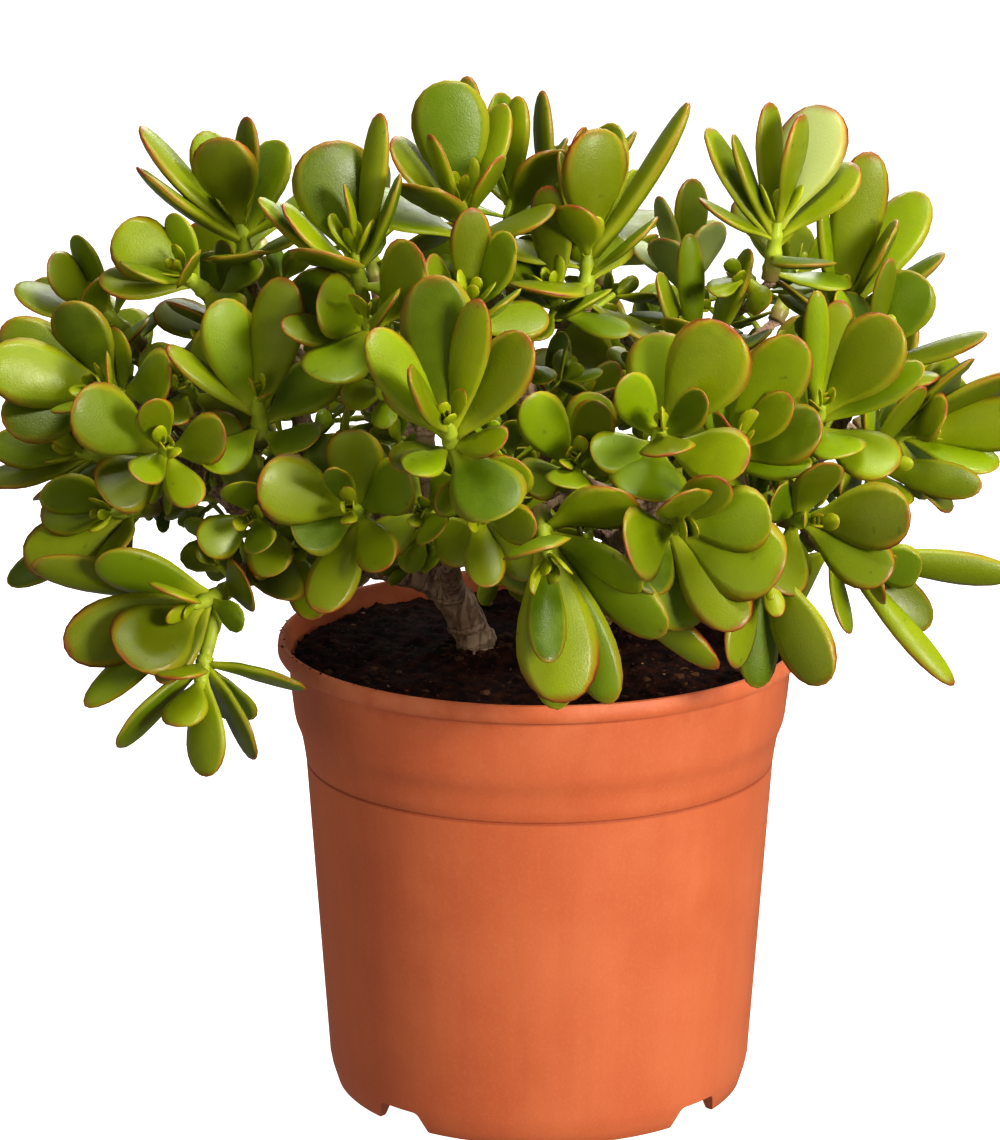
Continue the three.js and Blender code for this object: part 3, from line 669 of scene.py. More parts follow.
# %% Damp peat
peat = Finish("damp_peat", Roughness=0.95, Specular_IOR_Level=0.15)
lumps = peat.noise(160, 5, 0.7)
flecks = peat.noise(700, 2, 0.6)
colour = peat.mix(peat.ramp(lumps, 0.35, 0.7), rgb(20, 9, 6), rgb(62, 34, 24))
colour = peat.mix(peat.ramp(flecks, 0.64, 0.74, 0, 0.7), colour, rgb(118, 80, 56))
peat.set("Base Color", peat.mix(peat.value("light_bit"), colour, rgb(150, 116, 84)))
peat.set("Normal", peat.bump(lumps, 0.0012, 0.9))
peat.give_to(soil)
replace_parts(soil, "soil")
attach(soil, "root")

# %% [markdown]
# ## Where everything grows
# The front of the plant was laid out: each shoot has a growing tip, a
# direction and the leaves that show from in front.  A place is written as it is
# seen by the eye of the camera, [across, up, depth] in millimetres on the
# upright plane through the pot's axis, and `seen` puts it back in space.

# %% Places as the eye sees them
EYE_DISTANCE = 1600  # mm in front of the pot's axis
EYE_HEIGHT = 611  # mm


def seen(place):
    across, up, depth = place
    t = (EYE_DISTANCE + depth) / EYE_DISTANCE
    return Vector((across * t, depth, EYE_HEIGHT + (up - EYE_HEIGHT) * t))


print("the lip's front edge is seen, mm up:",
      round(EYE_HEIGHT + (POT_HEIGHT - EYE_HEIGHT) * EYE_DISTANCE / (EYE_DISTANCE - LIP_RADIUS)))

# %% [markdown]
# Leaves that nobody sees follow the plant's own rule: crossed pairs that open
# wider the further down the stem they sit.  These are the measures of a leaf
# and of a stem, the same as in the solid plant, so that the two fit.

# %% Measures of leaves and stems
LEAF_CURL = 0.07  # rise of the tip, share of the length
LEAF_RIDGE = 0.62  # where along the leaf it is thickest
LEAF_ROOT = 1  # mm from the stem's axis to the root
LEAF_THICKNESS = 0.125  # share of the length
# corners of a solid leaf, from its root: (share of the length, share of the half width)
LEAF_OUTLINE = [(0, 0), (0.56, 0.98), (0.92, 0.72), (1, 0), (0.92, -0.72), (0.56, -0.98)]
STEM_RADIUS = 2.8  # mm
STEM_LENGTH = 24  # mm
SIDE_STEM_LENGTH = 13  # mm
FORK_HEIGHT = 6  # mm above its foot, where a side shoot leaves a stem
ROOT_BELOW_TIP = 3  # mm below the growing tip, an upright leaf's root
ROOT_BELOW_OPEN = 8  # mm more for each radian that a leaf opens
WIDTH_OF_LENGTH = 0.66
LEAVES_APART = 0.55  # radians, least angle of a rule leaf to the leaves seen in front
YOUNG_NARROWNESS = 0.65  # width share of the youngest pair
TURN_JITTER, PITCH_JITTER, LENGTH_JITTER = 0.2, 0.14, 0.1
# pairs down a stem: (length share, pitch from the stem in radians, mm below the tip)
PAIRS = [(0.5, 0.24, 3), (0.8, 0.62, 5), (1, 1.02, 9), (0.98, 1.4, 15), (0.85, 1.7, 21)]
# a leaf that would cross another one was bent: (pitch, turn, length share)
BENDS = [
    (0, 0, 1), (0.16, 0, 1), (-0.16, 0, 1), (0, 0.2, 1), (0, -0.2, 1), (0.3, 0.1, 0.95),
    (-0.3, -0.1, 0.95), (0.1, 0.42, 0.92), (0.1, -0.42, 0.92), (0.45, 0, 0.85),
    (-0.45, 0, 0.85), (0.2, 0.3, 0.75), (-0.2, -0.3, 0.7),
]
print("most leaves that a shoot may have by the rule:", 2 * len(PAIRS))

# %% [markdown]
# The wood comes first: a limb is a list of places that its middle line runs
# through, from its foot to its end.

# %% The limbs
# each limb: [trunk, foot radius, end radius, places]
LIMBS = [
  ['trunk_left', 8.2, 6, [[-21, 140, -4], [-23, 166, -5], [-29, 179, -8], [-40, 190, -12],
    [-66, 197, -20], [-88, 204, -28], [-106, 216, -34], [-122, 230, -34]]],
  ['trunk_left', 5.5, 4, [[-66, 197, -20], [-76, 216, -12], [-84, 240, -6], [-88, 268, -6]]],
  ['trunk_left', 5.5, 4, [[-38, 188, -12], [-40, 208, 12], [-46, 236, 30], [-56, 262, 44]]],
  ['trunk_left', 5, 4, [[-100, 212, -32], [-108, 218, 0], [-116, 228, 34]]],
  ['trunk_left', 4.5, 4, [[-30, 180, -8], [-34, 198, -40], [-40, 222, -56], [-42, 250, -52]]],
  ['trunk_right', 7.4, 6, [[22, 140, 22], [21, 168, 22], [15, 186, 20], [8, 207, 14],
    [0, 230, 8], [-6, 256, 6], [-8, 284, 4]]],
  ['trunk_right', 6, 4.5, [[20, 172, 22], [34, 194, 10], [56, 214, -8], [84, 228, -14], [104, 238, -16]]],
  ['trunk_right', 5, 4, [[15, 186, 20], [26, 200, -20], [34, 208, -58], [40, 214, -78]]],
  ['trunk_right', 5, 4, [[56, 214, -8], [62, 236, 8], [66, 262, 18], [64, 284, 20]]],
  ['trunk_right', 5, 4, [[18, 180, 22], [30, 196, 52], [44, 222, 76], [48, 250, 84]]],
]
print("limbs:", len(LIMBS))

# %% [markdown]
# Then come the shoots.  Those with leaves of their own in the list are seen in
# front; the others, at the back and inside, are left to the rule.  A shoot whose
# name comes again is a side shoot on the same stem.

# %% The shoots
# each shoot: [name, place of its tip, direction, leaf size, pairs, leaves seen in front], and a
# leaf is [across, up, mm nearer to the eye than the tip, width]
SHOOTS = [
  ['stem_left_crown', [-107, 322, -20], [-0.15, -0.15, 1], 36, 4, [[-144, 351, 0, 19], [-141, 340, 14, 24],
    [-114, 349, 13, 23], [-101, 357, -4, 15], [-89, 347, -12, 26], [-120, 351, -14, 18]]],
  ['stem_left_inner', [-110, 288, -12], [-0.05, -0.3, 1], 34, 5, [[-110, 314, 6, 12]]],
  ['stem_left_upper', [-128, 302, -45], [-0.5, -0.6, 0.6], 28, 5, [[-148, 301, 16, 20], [-151, 316, -4, 22],
    [-131, 322, -4, 12], [-157, 305, 4, 16]]],
  ['stem_left_far', [-158, 290, -10], [-0.6, -0.3, 0.7], 26, 5, [[-176, 305, 6, 20], [-188, 293, 2, 20],
    [-166, 314, -2, 14], [-181, 303, -8, 16], [-172, 284, 14, 16]]],
  ['stem_left_front', [-158, 260, -60], [-0.45, -0.8, 0.4], 32, 4, [[-169, 291, -4, 21], [-199, 268, 4, 24],
    [-192, 281, -6, 20], [-150, 282, -4, 12], [-172, 246, 24, 16], [-192, 249, 10, 23]]],
  ['stem_left_low', [-134, 238, -85], [0.1, -0.9, 0.4], 28, 4, [[-168, 254, 6, 24], [-141, 257, 8, 14],
    [-146, 224, 18, 13], [-124, 214, 10, 14], [-158, 218, 0, 22], [-112, 243, 0, 18]]],
  ['stem_left_mid', [-101, 257, -75], [0, -0.55, 0.85], 34, 5, [[-88, 300, -6, 20], [-117, 291, -8, 22],
    [-131, 276, 4, 11], [-134, 265, 8, 23], [-80, 237, 6, 20]]],
  ['stem_left_edge', [-168, 236, -20], [-0.8, -0.3, 0.3], 30, 5, [[-197, 239, 0, 16], [-199, 226, 8, 24],
    [-182, 254, -6, 20], [-178, 218, 4, 20]]],
  ['stem_left_back', [-144, 272, 4], [-0.4, -0.3, 0.9], 30, 5, []],
  ['stem_left_curl', [-156, 213, -55], [-0.6, -0.7, 0.1], 28, 4, [[-179, 224, 6, 20], [-184, 211, 8, 18],
    [-190, 198, 2, 23], [-149, 220, 18, 10], [-201, 192, -6, 14], [-156, 194, 10, 18]]],
  ['stem_left_hanging', [-126, 178, -80], [-0.45, -0.75, -0.05], 34, 3, [[-152, 156, 16, 29],
    [-160, 198, 0, 20],
    [-184, 191, 0, 14], [-173, 163, 2, 24], [-165, 140, 2, 12], [-137, 148, 8, 14], [-104, 188, 2, 20]]],
  ['stem_left_hanging', [-124, 146, -85], [-0.15, -0.5, -0.8], 30, 4, [[-157, 129, 2, 19], [-120, 114, 4, 18],
    [-100, 123, 2, 19], [-84, 152, 0, 15]]],
  ['stem_left_cluster', [-90, 200, -62], [0.1, -0.9, 0.1], 26, 4, [[-98, 181, 8, 22], [-80, 172, 4, 14]]],
  ['stem_front_left', [-68, 215, -95], [-0.15, -0.9, 0.35], 30, 4, [[-102, 226, 4, 24], [-76, 233, 12, 10],
    [-54, 190, 12, 16], [-80, 175, 4, 18], [-90, 204, -2, 20], [-46, 228, 2, 20], [-68, 243, -6, 20]]],
  ['stem_front_upper', [-33, 247, -125], [-0.05, -0.75, 0.65], 36, 4, [[-38, 302, -8, 26], [-52, 263, 26, 16],
    [-64, 280, 2, 18], [-2, 278, 0, 22], [-16, 296, -6, 14], [-10, 238, 8, 14], [-48, 226, 8, 14]]],
  ['stem_front_upper', [-21, 212, -120], [0.1, -0.9, 0.1], 26, 3, [[-19, 184, 8, 14], [1, 207, 8, 14],
    [-2, 190, 6, 14], [14, 197, -6, 22], [-38, 222, 0, 14]]],
  ['stem_front_dark', [-62, 286, -82], [-0.15, -0.7, 0.6], 34, 4, [[-94, 279, 4, 14], [-81, 293, 2, 24],
    [-40, 310, 4, 24], [-60, 262, 14, 18]]],
  ['stem_top_left', [-66, 310, -58], [-0.1, -0.35, 1], 38, 4, [[-77, 348, -8, 30], [-103, 324, 0, 12],
    [-52, 358, -6, 12], [-66, 333, 8, 10], [-92, 332, -2, 20], [-45, 334, 10, 15]]],
  ['stem_top', [-28, 328, -30], [-0.1, -0.25, 1], 38, 4, [[-34, 370, -8, 27], [-25, 371, -18, 12],
    [-14, 362, -10, 16], [-50, 351, 0, 22], [-14, 342, 14, 18], [-42, 348, 14, 12]]],
  ['stem_top_low', [-24, 292, -78], [0.15, -0.5, 0.9], 32, 4, [[-24, 324, 2, 15], [-7, 314, 4, 18],
    [-8, 290, 12, 20], [-46, 304, 0, 18]]],
  ['stem_top_back', [-10, 330, 6], [0.1, 0, 1], 34, 4, [[-9, 364, 4, 12], [-18, 365, -10, 18],
    [6, 352, 0, 20]]],
  ['stem_top_right', [17, 312, -20], [0.05, -0.1, 1], 38, 5, [[21, 352, 8, 25], [47, 365, 0, 14],
    [42, 320, 6, 22], [28, 354, -12, 18], [4, 344, 0, 14]]],
  ['stem_top_right', [4, 296, -24], [-0.2, -0.4, 0.9], 32, 3, [[2, 332, 0, 16], [-12, 302, 6, 18],
    [32, 278, 6, 13], [-8, 276, 10, 18]]],
  ['stem_centre_back', [4, 326, 26], [0, 0.1, 1], 34, 4, [[-2, 366, 0, 12], [14, 354, 2, 16],
    [36, 350, -4, 18]]],
  ['stem_front_small', [12, 234, -105], [0, -0.85, 0.45], 28, 4, [[-6, 257, 2, 18], [24, 256, 4, 16],
    [18, 212, 4, 20], [-8, 224, 0, 16], [32, 238, 0, 16]]],
  ['stem_front_right', [43, 245, -120], [0, -0.85, 0.5], 36, 4, [[69, 282, 0, 29], [28, 264, 4, 16],
    [62, 257, 6, 14], [37, 216, 8, 27], [76, 230, 4, 22], [18, 234, 0, 16]]],
  ['stem_front_pale', [51, 208, -127], [0.2, -0.9, 0.2], 36, 4, [[68, 232, 4, 16], [88, 191, 4, 29],
    [37, 184, 6, 17], [73, 172, 10, 21]]],
  ['stem_right_front', [71, 240, -92], [0.3, -0.6, 0.6], 34, 5, [[92, 280, -2, 23], [88, 256, 10, 14],
    [102, 246, 0, 22], [98, 229, 6, 14], [60, 271, -8, 18]]],
  ['stem_right_upper', [101, 254, -72], [0.15, -0.65, 0.65], 34, 4, [[97, 296, -4, 10], [107, 291, -4, 14],
    [128, 284, 2, 25], [136, 268, 4, 14], [82, 266, 4, 18], [111, 234, 12, 20]]],
  ['stem_right_tip', [136, 243, -30], [0.9, -0.4, 0.15], 34, 5, [[172, 271, 2, 20], [151, 274, 2, 12],
    [180, 249, 2, 20], [164, 229, 6, 20]]],
  ['stem_right_tip', [124, 233, -42], [0.5, -0.7, 0.2], 28, 3, [[159, 222, 6, 14], [136, 262, 0, 10],
    [128, 214, 8, 20]]],
  ['stem_right_high', [121, 277, -30], [0.3, -0.4, 0.9], 28, 4, [[121, 308, 0, 10], [135, 301, -6, 22],
    [160, 277, 2, 12], [142, 262, 8, 15], [104, 294, 0, 18]]],
  ['stem_right_low', [98, 211, -100], [0.3, -0.9, 0.2], 30, 5, [[101, 240, 2, 17], [134, 213, 4, 23],
    [87, 183, 8, 18], [126, 191, 6, 20], [82, 222, 4, 16]]],
  ['stem_right_hanging', [82, 188, -105], [0.2, -0.6, -0.6], 34, 4, [[106, 151, 6, 21], [68, 156, 8, 18],
    [80, 148, 0, 16]]],
  ['stem_right_trailing', [118, 195, -60], [0.7, -0.5, -0.2], 30, 4, [[140, 188, 8, 20], [148, 148, 0, 11],
    [142, 172, -8, 18], [172, 188, -4, 13], [110, 168, 4, 14]]],
  ['stem_front_hanging', [3, 196, -130], [0.1, -0.85, -0.5], 36, 4, [[9, 142, 8, 28], [2, 156, 20, 14],
    [39, 188, 6, 18], [48, 172, -4, 22], [64, 154, -10, 14], [-16, 136, 0, 20], [27, 143, -2, 18]]],
  ['stem_middle_right', [52, 304, 40], [0, 0.1, 1], 30, 5, [[55, 335, 0, 18], [40, 328, 4, 16],
    [42, 312, 12, 20], [64, 318, 8, 22]]],
  ['stem_middle_narrow', [56, 276, -16], [0, -0.3, 1], 32, 4, [[51, 316, 0, 11], [79, 308, 2, 16],
    [38, 300, 0, 13]]],
  ['stem_right_crown', [84, 322, -20], [0.1, -0.15, 1], 36, 5, [[94, 357, 8, 23], [98, 363, -12, 27],
    [65, 350, 0, 15], [60, 354, -8, 18], [71, 361, -12, 14]]],
  ['stem_right_back', [107, 293, -2], [0.2, -0.2, 0.9], 32, 5, [[96, 330, 4, 14], [130, 317, 8, 24],
    [133, 336, -6, 25], [145, 306, 2, 14], [115, 345, -12, 20]]],
  ['stem_inner_right', [12, 258, 30], [0.3, -0.5, 0.8], 28, 4, [[3, 280, 0, 16], [30, 266, 0, 16]]],
  ['stem_inner_low', [-4, 224, -62], [-0.1, -0.9, 0.3], 26, 4, []],
  ['stem_back_1', [-112, 304, 62], [-0.4, 0.5, 0.8], 34, 4, []],
  ['stem_back_2', [-62, 318, 64], [-0.2, 0.4, 1], 36, 4, []],
  ['stem_back_3', [-26, 296, 112], [0, 0.8, 0.7], 36, 4, []],
  ['stem_back_4', [24, 318, 84], [0.1, 0.5, 1], 36, 4, []],
  ['stem_back_5', [92, 304, 66], [0.4, 0.5, 0.8], 34, 4, []],
  ['stem_back_6', [132, 256, 56], [0.9, 0.4, 0.4], 34, 4, []],
  ['stem_back_7', [88, 258, 118], [0.5, 0.8, 0.4], 34, 4, []],
  ['stem_back_8', [34, 272, 136], [0.1, 0.9, 0.5], 36, 4, []],
  ['stem_back_9', [-66, 262, 128], [-0.3, 0.9, 0.4], 34, 4, []],
  ['stem_back_10', [-116, 256, 96], [-0.7, 0.7, 0.3], 34, 4, []],
  ['stem_back_11', [-162, 252, 46], [-0.9, 0.4, 0.3], 32, 4, []],
  ['stem_back_12', [-12, 228, 122], [-0.1, 1, 0], 34, 4, []],
  ['stem_back_13', [62, 220, 104], [0.4, 0.9, -0.1], 34, 4, []],
  ['stem_back_14', [-72, 216, 92], [-0.4, 0.9, -0.1], 32, 4, []],
  ['stem_inner_left', [-104, 212, -84], [-0.1, -0.8, 0.1], 26, 4, []],
  ['stem_inner_front', [-43, 214, -92], [-0.1, -0.9, 0.2], 25, 4, []],
  ['stem_inner_centre', [-8, 205, -84], [0.1, -0.9, 0.15], 24, 4, []],
  ['stem_inner_upper', [-128, 262, -66], [-0.1, -0.8, 0.5], 25, 4, []],
]
print("shoots seen in front:", sum(bool(shoot[-1]) for shoot in SHOOTS), "of", len(SHOOTS))

# %% [markdown]
# The rule has dice in it, so that no two shoots look the same.  The dice are a
# short formula with a seed for each shoot, which rolls the same numbers on any
# machine, and the same ones as in the solid plant.

# %% Dice
class Dice:
    """A small seeded generator of numbers from 0 to 1."""

    def __init__(self, index):
        self.state = 7919 * index + 101

    def roll(self):
        self.state = (self.state * 1664525 + 1013904223) % 4294967296
        return self.state / 4294967296

    def jitter(self, size):
        return size * (2 * self.roll() - 1)


print("the first shoot's first roll:", round(Dice(0).roll(), 3))

# %% [markdown]
# Each shoot has a head with its growing tip.  Leaves are listed in two rounds,
# first those that were placed one by one and then those that follow the rule, which
# keep clear of the first.

# %% List every leaf that the plant was meant to have
def turned(vector, axis, angle):
    return Matrix.Rotation(angle, 3, axis) @ vector


def list_heads():
    heads, stems = [], {}
    for index, (name, place, direction, size, pairs, shown) in enumerate(SHOOTS):
        grow = Vector(direction).normalized()
        tip = seen(place)
        length = SIDE_STEM_LENGTH if name in stems else STEM_LENGTH
        head = {"name": name, "tip": tip, "grow": grow, "foot": tip - grow * length,
                "reach": length - STEM_RADIUS, "size": size, "pairs": pairs,
                "shown": shown, "depth": place[2], "index": index, "directions": [],
                "fork": None}
        if name in stems:
            head["fork"] = stems[name]["foot"] + stems[name]["grow"] * FORK_HEIGHT
        else:
            stems[name] = head
        heads.append(head)
    return heads


def leaves_by_eye(head):
    for across, up, nearer, width in head["shown"]:
        leaf_tip = seen((across, up, head["depth"] - nearer))
        below = ROOT_BELOW_TIP + ROOT_BELOW_OPEN * head["grow"].angle(leaf_tip - head["tip"])
        root = head["tip"] - head["grow"] * min(below, head["reach"])
        along = leaf_tip - root
        head["directions"].append(along.normalized())
        yield {"head": head, "root": root, "along": along.normalized(),
               "length": along.length, "width": width, "age": 0.5}


def leaves_by_rule(head):
    dice = Dice(head["index"])
    grow = head["grow"]
    side = Vector((0, 0, 1)).cross(grow)
    side = side.normalized() if side.length >= 0.1 else Vector((1, 0, 0))
    start = dice.roll() * math.pi
    for pair in range(head["pairs"]):
        share, pitch, below = PAIRS[pair]
        for half in range(2):
            turn = start + pair * math.pi / 2 + half * math.pi + dice.jitter(TURN_JITTER)
            opening = pitch + dice.jitter(PITCH_JITTER)
            length = head["size"] * share * (1 + dice.jitter(LENGTH_JITTER))
            width = length * WIDTH_OF_LENGTH * (YOUNG_NARROWNESS if pair == 0 else 1)
            radial = turned(side, grow, turn)
            along = grow * math.cos(opening) + radial * math.sin(opening)
            if any(other.angle(along) < LEAVES_APART for other in head["directions"]):
                continue
            yield {"head": head, "root": head["tip"] - grow * min(below, head["reach"]),
                   "along": along, "length": length, "width": width,
                   "age": pair / (len(PAIRS) - 1)}


heads = list_heads()
planned = [leaf for head in heads for leaf in leaves_by_eye(head)]
planned += [leaf for head in heads for leaf in leaves_by_rule(head)]
print("leaves planned:", len(planned))

# %% [markdown]
# When the solid plant was made, a leaf that would have run through its
# neighbour was bent aside, by one of a few set bends, or left out.  Which bend
# each leaf got can be read from the solid model: the corners of the right one
# are found among its vertices.  A lookup tree finds the nearest vertex quickly.

# %% Find each leaf in the solid plant
FOUND_WITHIN = 0.08  # mm
CORNERS_NEEDED = 3


def corner_tree(mesh):
    tree = KDTree(len(mesh.vertices))
    for vertex in mesh.vertices:
        tree.insert(vertex.co / MM, vertex.index)
    tree.balance()
    return tree


def leaf_corners(leaf):
    across = leaf["along"].cross(leaf["face"])
    corners = [(side * leaf["width"] / 2, station, 0) for station, side in LEAF_OUTLINE[1:]]
    half = LEAF_THICKNESS * leaf["length"] / 2
    corners += [(0, LEAF_RIDGE, half), (0, LEAF_RIDGE, -half)]
    for x, u, rise in corners:
        y = LEAF_ROOT + u * (leaf["length"] - LEAF_ROOT)
        z = LEAF_CURL * leaf["length"] * u * u + rise
        yield leaf["root"] + across * x + leaf["along"] * y + leaf["face"] * z


def bend(leaf, pitch, turn, share):
    stem = leaf["head"]["grow"]
    hinge = stem.cross(leaf["along"]).normalized()
    along = turned(turned(leaf["along"], hinge, pitch), stem, turn)
    return {**leaf, "along": along, "face": (stem - along * stem.dot(along)).normalized(),
            "length": leaf["length"] * share, "width": leaf["width"] * share}


trees = {name: corner_tree(node.data) for name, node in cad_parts.items()
         if name.startswith("stem_")}
leaves = []
for leaf in planned:
    tree = trees[leaf["head"]["name"]]
    best, most = None, CORNERS_NEEDED - 1
    for change in BENDS:
        candidate = bend(leaf, *change)
        hits = sum(tree.find(corner)[2] < FOUND_WITHIN for corner in leaf_corners(candidate))
        if hits > most:
            best, most = candidate, hits
    if best:
        leaves.append(best)
print("leaves found in the solid plant:", len(leaves))

# %% [markdown]
# ## Bark
# The trunks are the solid ones made round.  Every leaf that fell off the growing
# stem left a ring-shaped scar, so low ridges will run round the wood at steps
# along each limb.  Points on the middle lines of all limbs and twigs, each with
# its distance along, tell how far along the wood any place on the bark is.

# %% Where the leaf scars run
RING_STEP = 8.5  # mm between leaf scars
RING_WIDTH = 1.0  # mm
RING_WAVER = 1.6  # mm that a ring strays along the limb
WAVER_SIZE, FADE_SIZE = 9, 5  # mm, of the noise that rings stray and fade by
MIDDLE_STRENGTH = 0.6  # of a ring, around which it fades
TWIG_REACH = 34  # mm of wood below a shoot's foot that gets rings too


def ring_samples():
    for _, _, _, places in LIMBS:
        points = [seen(place) for place in places]
        done = 0
        for start, end in zip(points, points[1:]):
            steps = max(1, int((end - start).length))
            for step in range(steps):
                yield start.lerp(end, step / steps), done + (end - start).length * step / steps
            done += (end - start).length
    for head in heads:
        for step in range(TWIG_REACH):
            yield head["foot"] - head["grow"] * step, step


samples = list(ring_samples())
ring_tree = KDTree(len(samples))
for index, (place, _) in enumerate(samples):
    ring_tree.insert(place, index)
ring_tree.balance()


def scar_weight(place):
    """1 on the crest of a scar and 0 between two, wavering a little round the limb."""
    distance = samples[ring_tree.find(place)[1]][1]
    step = (distance + RING_WAVER * noise.noise(place / WAVER_SIZE)) / RING_STEP
    gap = abs(step - round(step)) * RING_STEP
    strength = MIDDLE_STRENGTH * (1 + noise.noise(place / FADE_SIZE))
    return max(0.0, min(1.0, math.exp(-((gap / RING_WIDTH) ** 2)) * strength))


print("points on the wood's middle lines:", len(samples))

# %% [markdown]
# The faceted limbs are merged, rebuilt on an even grid of small cells with a
# Remesh modifier and smoothed, as wax would be.  Clouds raise knots, and vertex
# weights say where a Displace modifier lifts the scars.

# %% Make the wood round
CELL = 1.0  # mm
SOFTEN, SOFTEN_ROUNDS = 0.6, 10
KNOT_SIZE, KNOT_HEIGHT = 0.007, 0.0016  # m
SCAR_HEIGHT = 0.8  # mm


def raise_scars(wood):
    weights = [scar_weight(vertex.co / MM) for vertex in wood.data.vertices]
    ridge = wood.vertex_groups.new(name="leaf_scars")
    for index, weight in enumerate(weights):
        ridge.add([index], weight, "REPLACE")
    make_active(wood)
    lift = wood.modifiers.new("scars", "DISPLACE")
    lift.vertex_group = ridge.name
    lift.mid_level = 0
    lift.strength = SCAR_HEIGHT * MM
    bpy.ops.object.modifier_apply(modifier=lift.name)
    add_value(wood.data, "scar", weights)


def grow_wood(name):
    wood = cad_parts[name].copy()
    wood.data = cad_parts[name].data.copy()
    scene.collection.objects.link(wood)
    make_active(wood)
    bpy.ops.object.mode_set(mode="EDIT")
    bpy.ops.mesh.select_all(action="SELECT")
    bpy.ops.mesh.remove_doubles(threshold=0.00001)
    bpy.ops.object.mode_set(mode="OBJECT")
    cells = wood.modifiers.new("cells", "REMESH")
    cells.mode = "VOXEL"
    cells.voxel_size = CELL * MM
    bpy.ops.object.modifier_apply(modifier=cells.name)
    soften = wood.modifiers.new("soften", "SMOOTH")
    soften.factor = SOFTEN
    soften.iterations = SOFTEN_ROUNDS
    bpy.ops.object.modifier_apply(modifier=soften.name)
    displace(wood, knots, KNOT_HEIGHT, "NORMAL")
    raise_scars(wood)
    bpy.ops.object.shade_smooth()
    settle(wood, name + "_bark")
    print(name, "faces:", len(wood.data.polygons))
    return wood


knots = clouds_texture("bark_knots", KNOT_SIZE, 2)
woods = {name: grow_wood(name) for name in ("trunk_left", "trunk_right")}

# %% [markdown]
# Bark on a succulent is thin and papery: grey-brown in patches, with fine cracks
# along the limb and a pale crest on each scar with a dark line under it.

# %% Grey bark
bark = Finish("grey_bark", Roughness=0.85)
patches = bark.noise(70, 4, 0.6)
cracks = bark.noise(420, 3, 0.65, (1, 1, 0.22))
fine = bark.noise(1200, 2, 0.6)
scar = bark.value("scar")
rim = bark.product(bark.ramp(scar, 0.05, 0.2), bark.ramp(scar, 0.42, 0.22), 0.55)
colour = bark.mix(bark.ramp(patches, 0.32, 0.7), rgb(146, 118, 96), rgb(192, 166, 142))
colour = bark.mix(bark.ramp(cracks, 0.52, 0.38, 0, 0.7), colour, rgb(92, 68, 52))
colour = bark.mix(bark.ramp(scar, 0.45, 0.9, 0, 0.5), colour, rgb(208, 186, 162))
colour = bark.mix(rim, colour, rgb(72, 52, 38))
bark.set("Base Color", bark.mix(bark.ramp(fine, 0.6, 0.8, 0, 0.4), colour, rgb(194, 174, 150)))
bark.set("Normal", bark.bump(fine, 0.0006, 0.7, bark.bump(cracks, 0.0012, 0.9)))
for node, wood in woods.items():
    bark.give_to(wood)
    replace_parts(wood, node)
    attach(wood, "root")

# %% [markdown]
# ## One leaf, modelled once
# A jade leaf is a thick spoon: narrow at its root, widest two thirds of the way
# out, with a blunt tip, a rounded margin and an upper side flatter than the
# lower.  It is described by stations along its length, and the leaf is one unit
# long and one wide each side, so that copies can be stretched to their sizes.

# %% Leaf outlines
# each station: (share of the length, share of the half width, share of the half thickness)
BROAD = [
    (0.035, 0.17, 0.50), (0.12, 0.23, 0.58), (0.22, 0.37, 0.70), (0.33, 0.60, 0.84),
    (0.45, 0.83, 0.95), (0.57, 0.97, 1.0), (0.68, 1.02, 0.97), (0.78, 0.97, 0.88),
    (0.875, 0.82, 0.74), (0.945, 0.58, 0.54), (0.985, 0.31, 0.32),
]
NARROW = [
    (0.035, 0.28, 0.60), (0.12, 0.36, 0.72), (0.22, 0.52, 0.86), (0.33, 0.70, 0.96),
    (0.45, 0.87, 1.0), (0.57, 0.97, 1.0), (0.68, 1.0, 0.96), (0.78, 0.94, 0.86),
    (0.875, 0.78, 0.70), (0.945, 0.55, 0.50), (0.985, 0.29, 0.28),
]
SMALL = [
    (0.06, 0.26, 0.55), (0.24, 0.46, 0.8), (0.46, 0.88, 1.0), (0.68, 1.0, 0.95),
    (0.87, 0.80, 0.70), (0.97, 0.42, 0.38),
]
UPPER_FLATNESS = 0.72  # height of the upper side, share of the lower side's depth
print("stations in a broad, a narrow and a small leaf:", len(BROAD), len(NARROW), len(SMALL))

# %% [markdown]
# A UV sphere already has rings from pole to pole, so each ring becomes a station
# of the leaf: it is drawn to that station's width and thickness and moved along.
# A ring that was moved could be picked again in place of a later one, so moved
# rings are parked far out until all are done.  A ring in the middle may also be
# cupped, which lifts its margin.

# %% Model a leaf
PARKED = 10
ON_RING = 0.005
CUPPED_OUTSIDE, CUPPED_BEYOND = 0.5, 0.4  # of the half width, of the length
TIP_FROM = 0.9  # of the length: beyond it all is margin
ROOT_UP_TO, ROOT_MARGIN = 0.03, 0.4


def mark_leaf(mesh, stations):
    """Store where each vertex lies: from midrib to margin, and from root to tip."""
    margin, station = [], []
    for vertex in mesh.vertices:
        along = vertex.co.y
        width = min(stations, key=lambda other: abs(other[0] - along))[1]
        towards_tip = min(1, max(0, (along - TIP_FROM) / (1 - TIP_FROM)))
        outward = max(abs(vertex.co.x) / width, towards_tip)
        margin.append(outward if along > ROOT_UP_TO else ROOT_MARGIN)
        station.append(along)
    add_value(mesh, "margin", margin)
    add_value(mesh, "station", station)


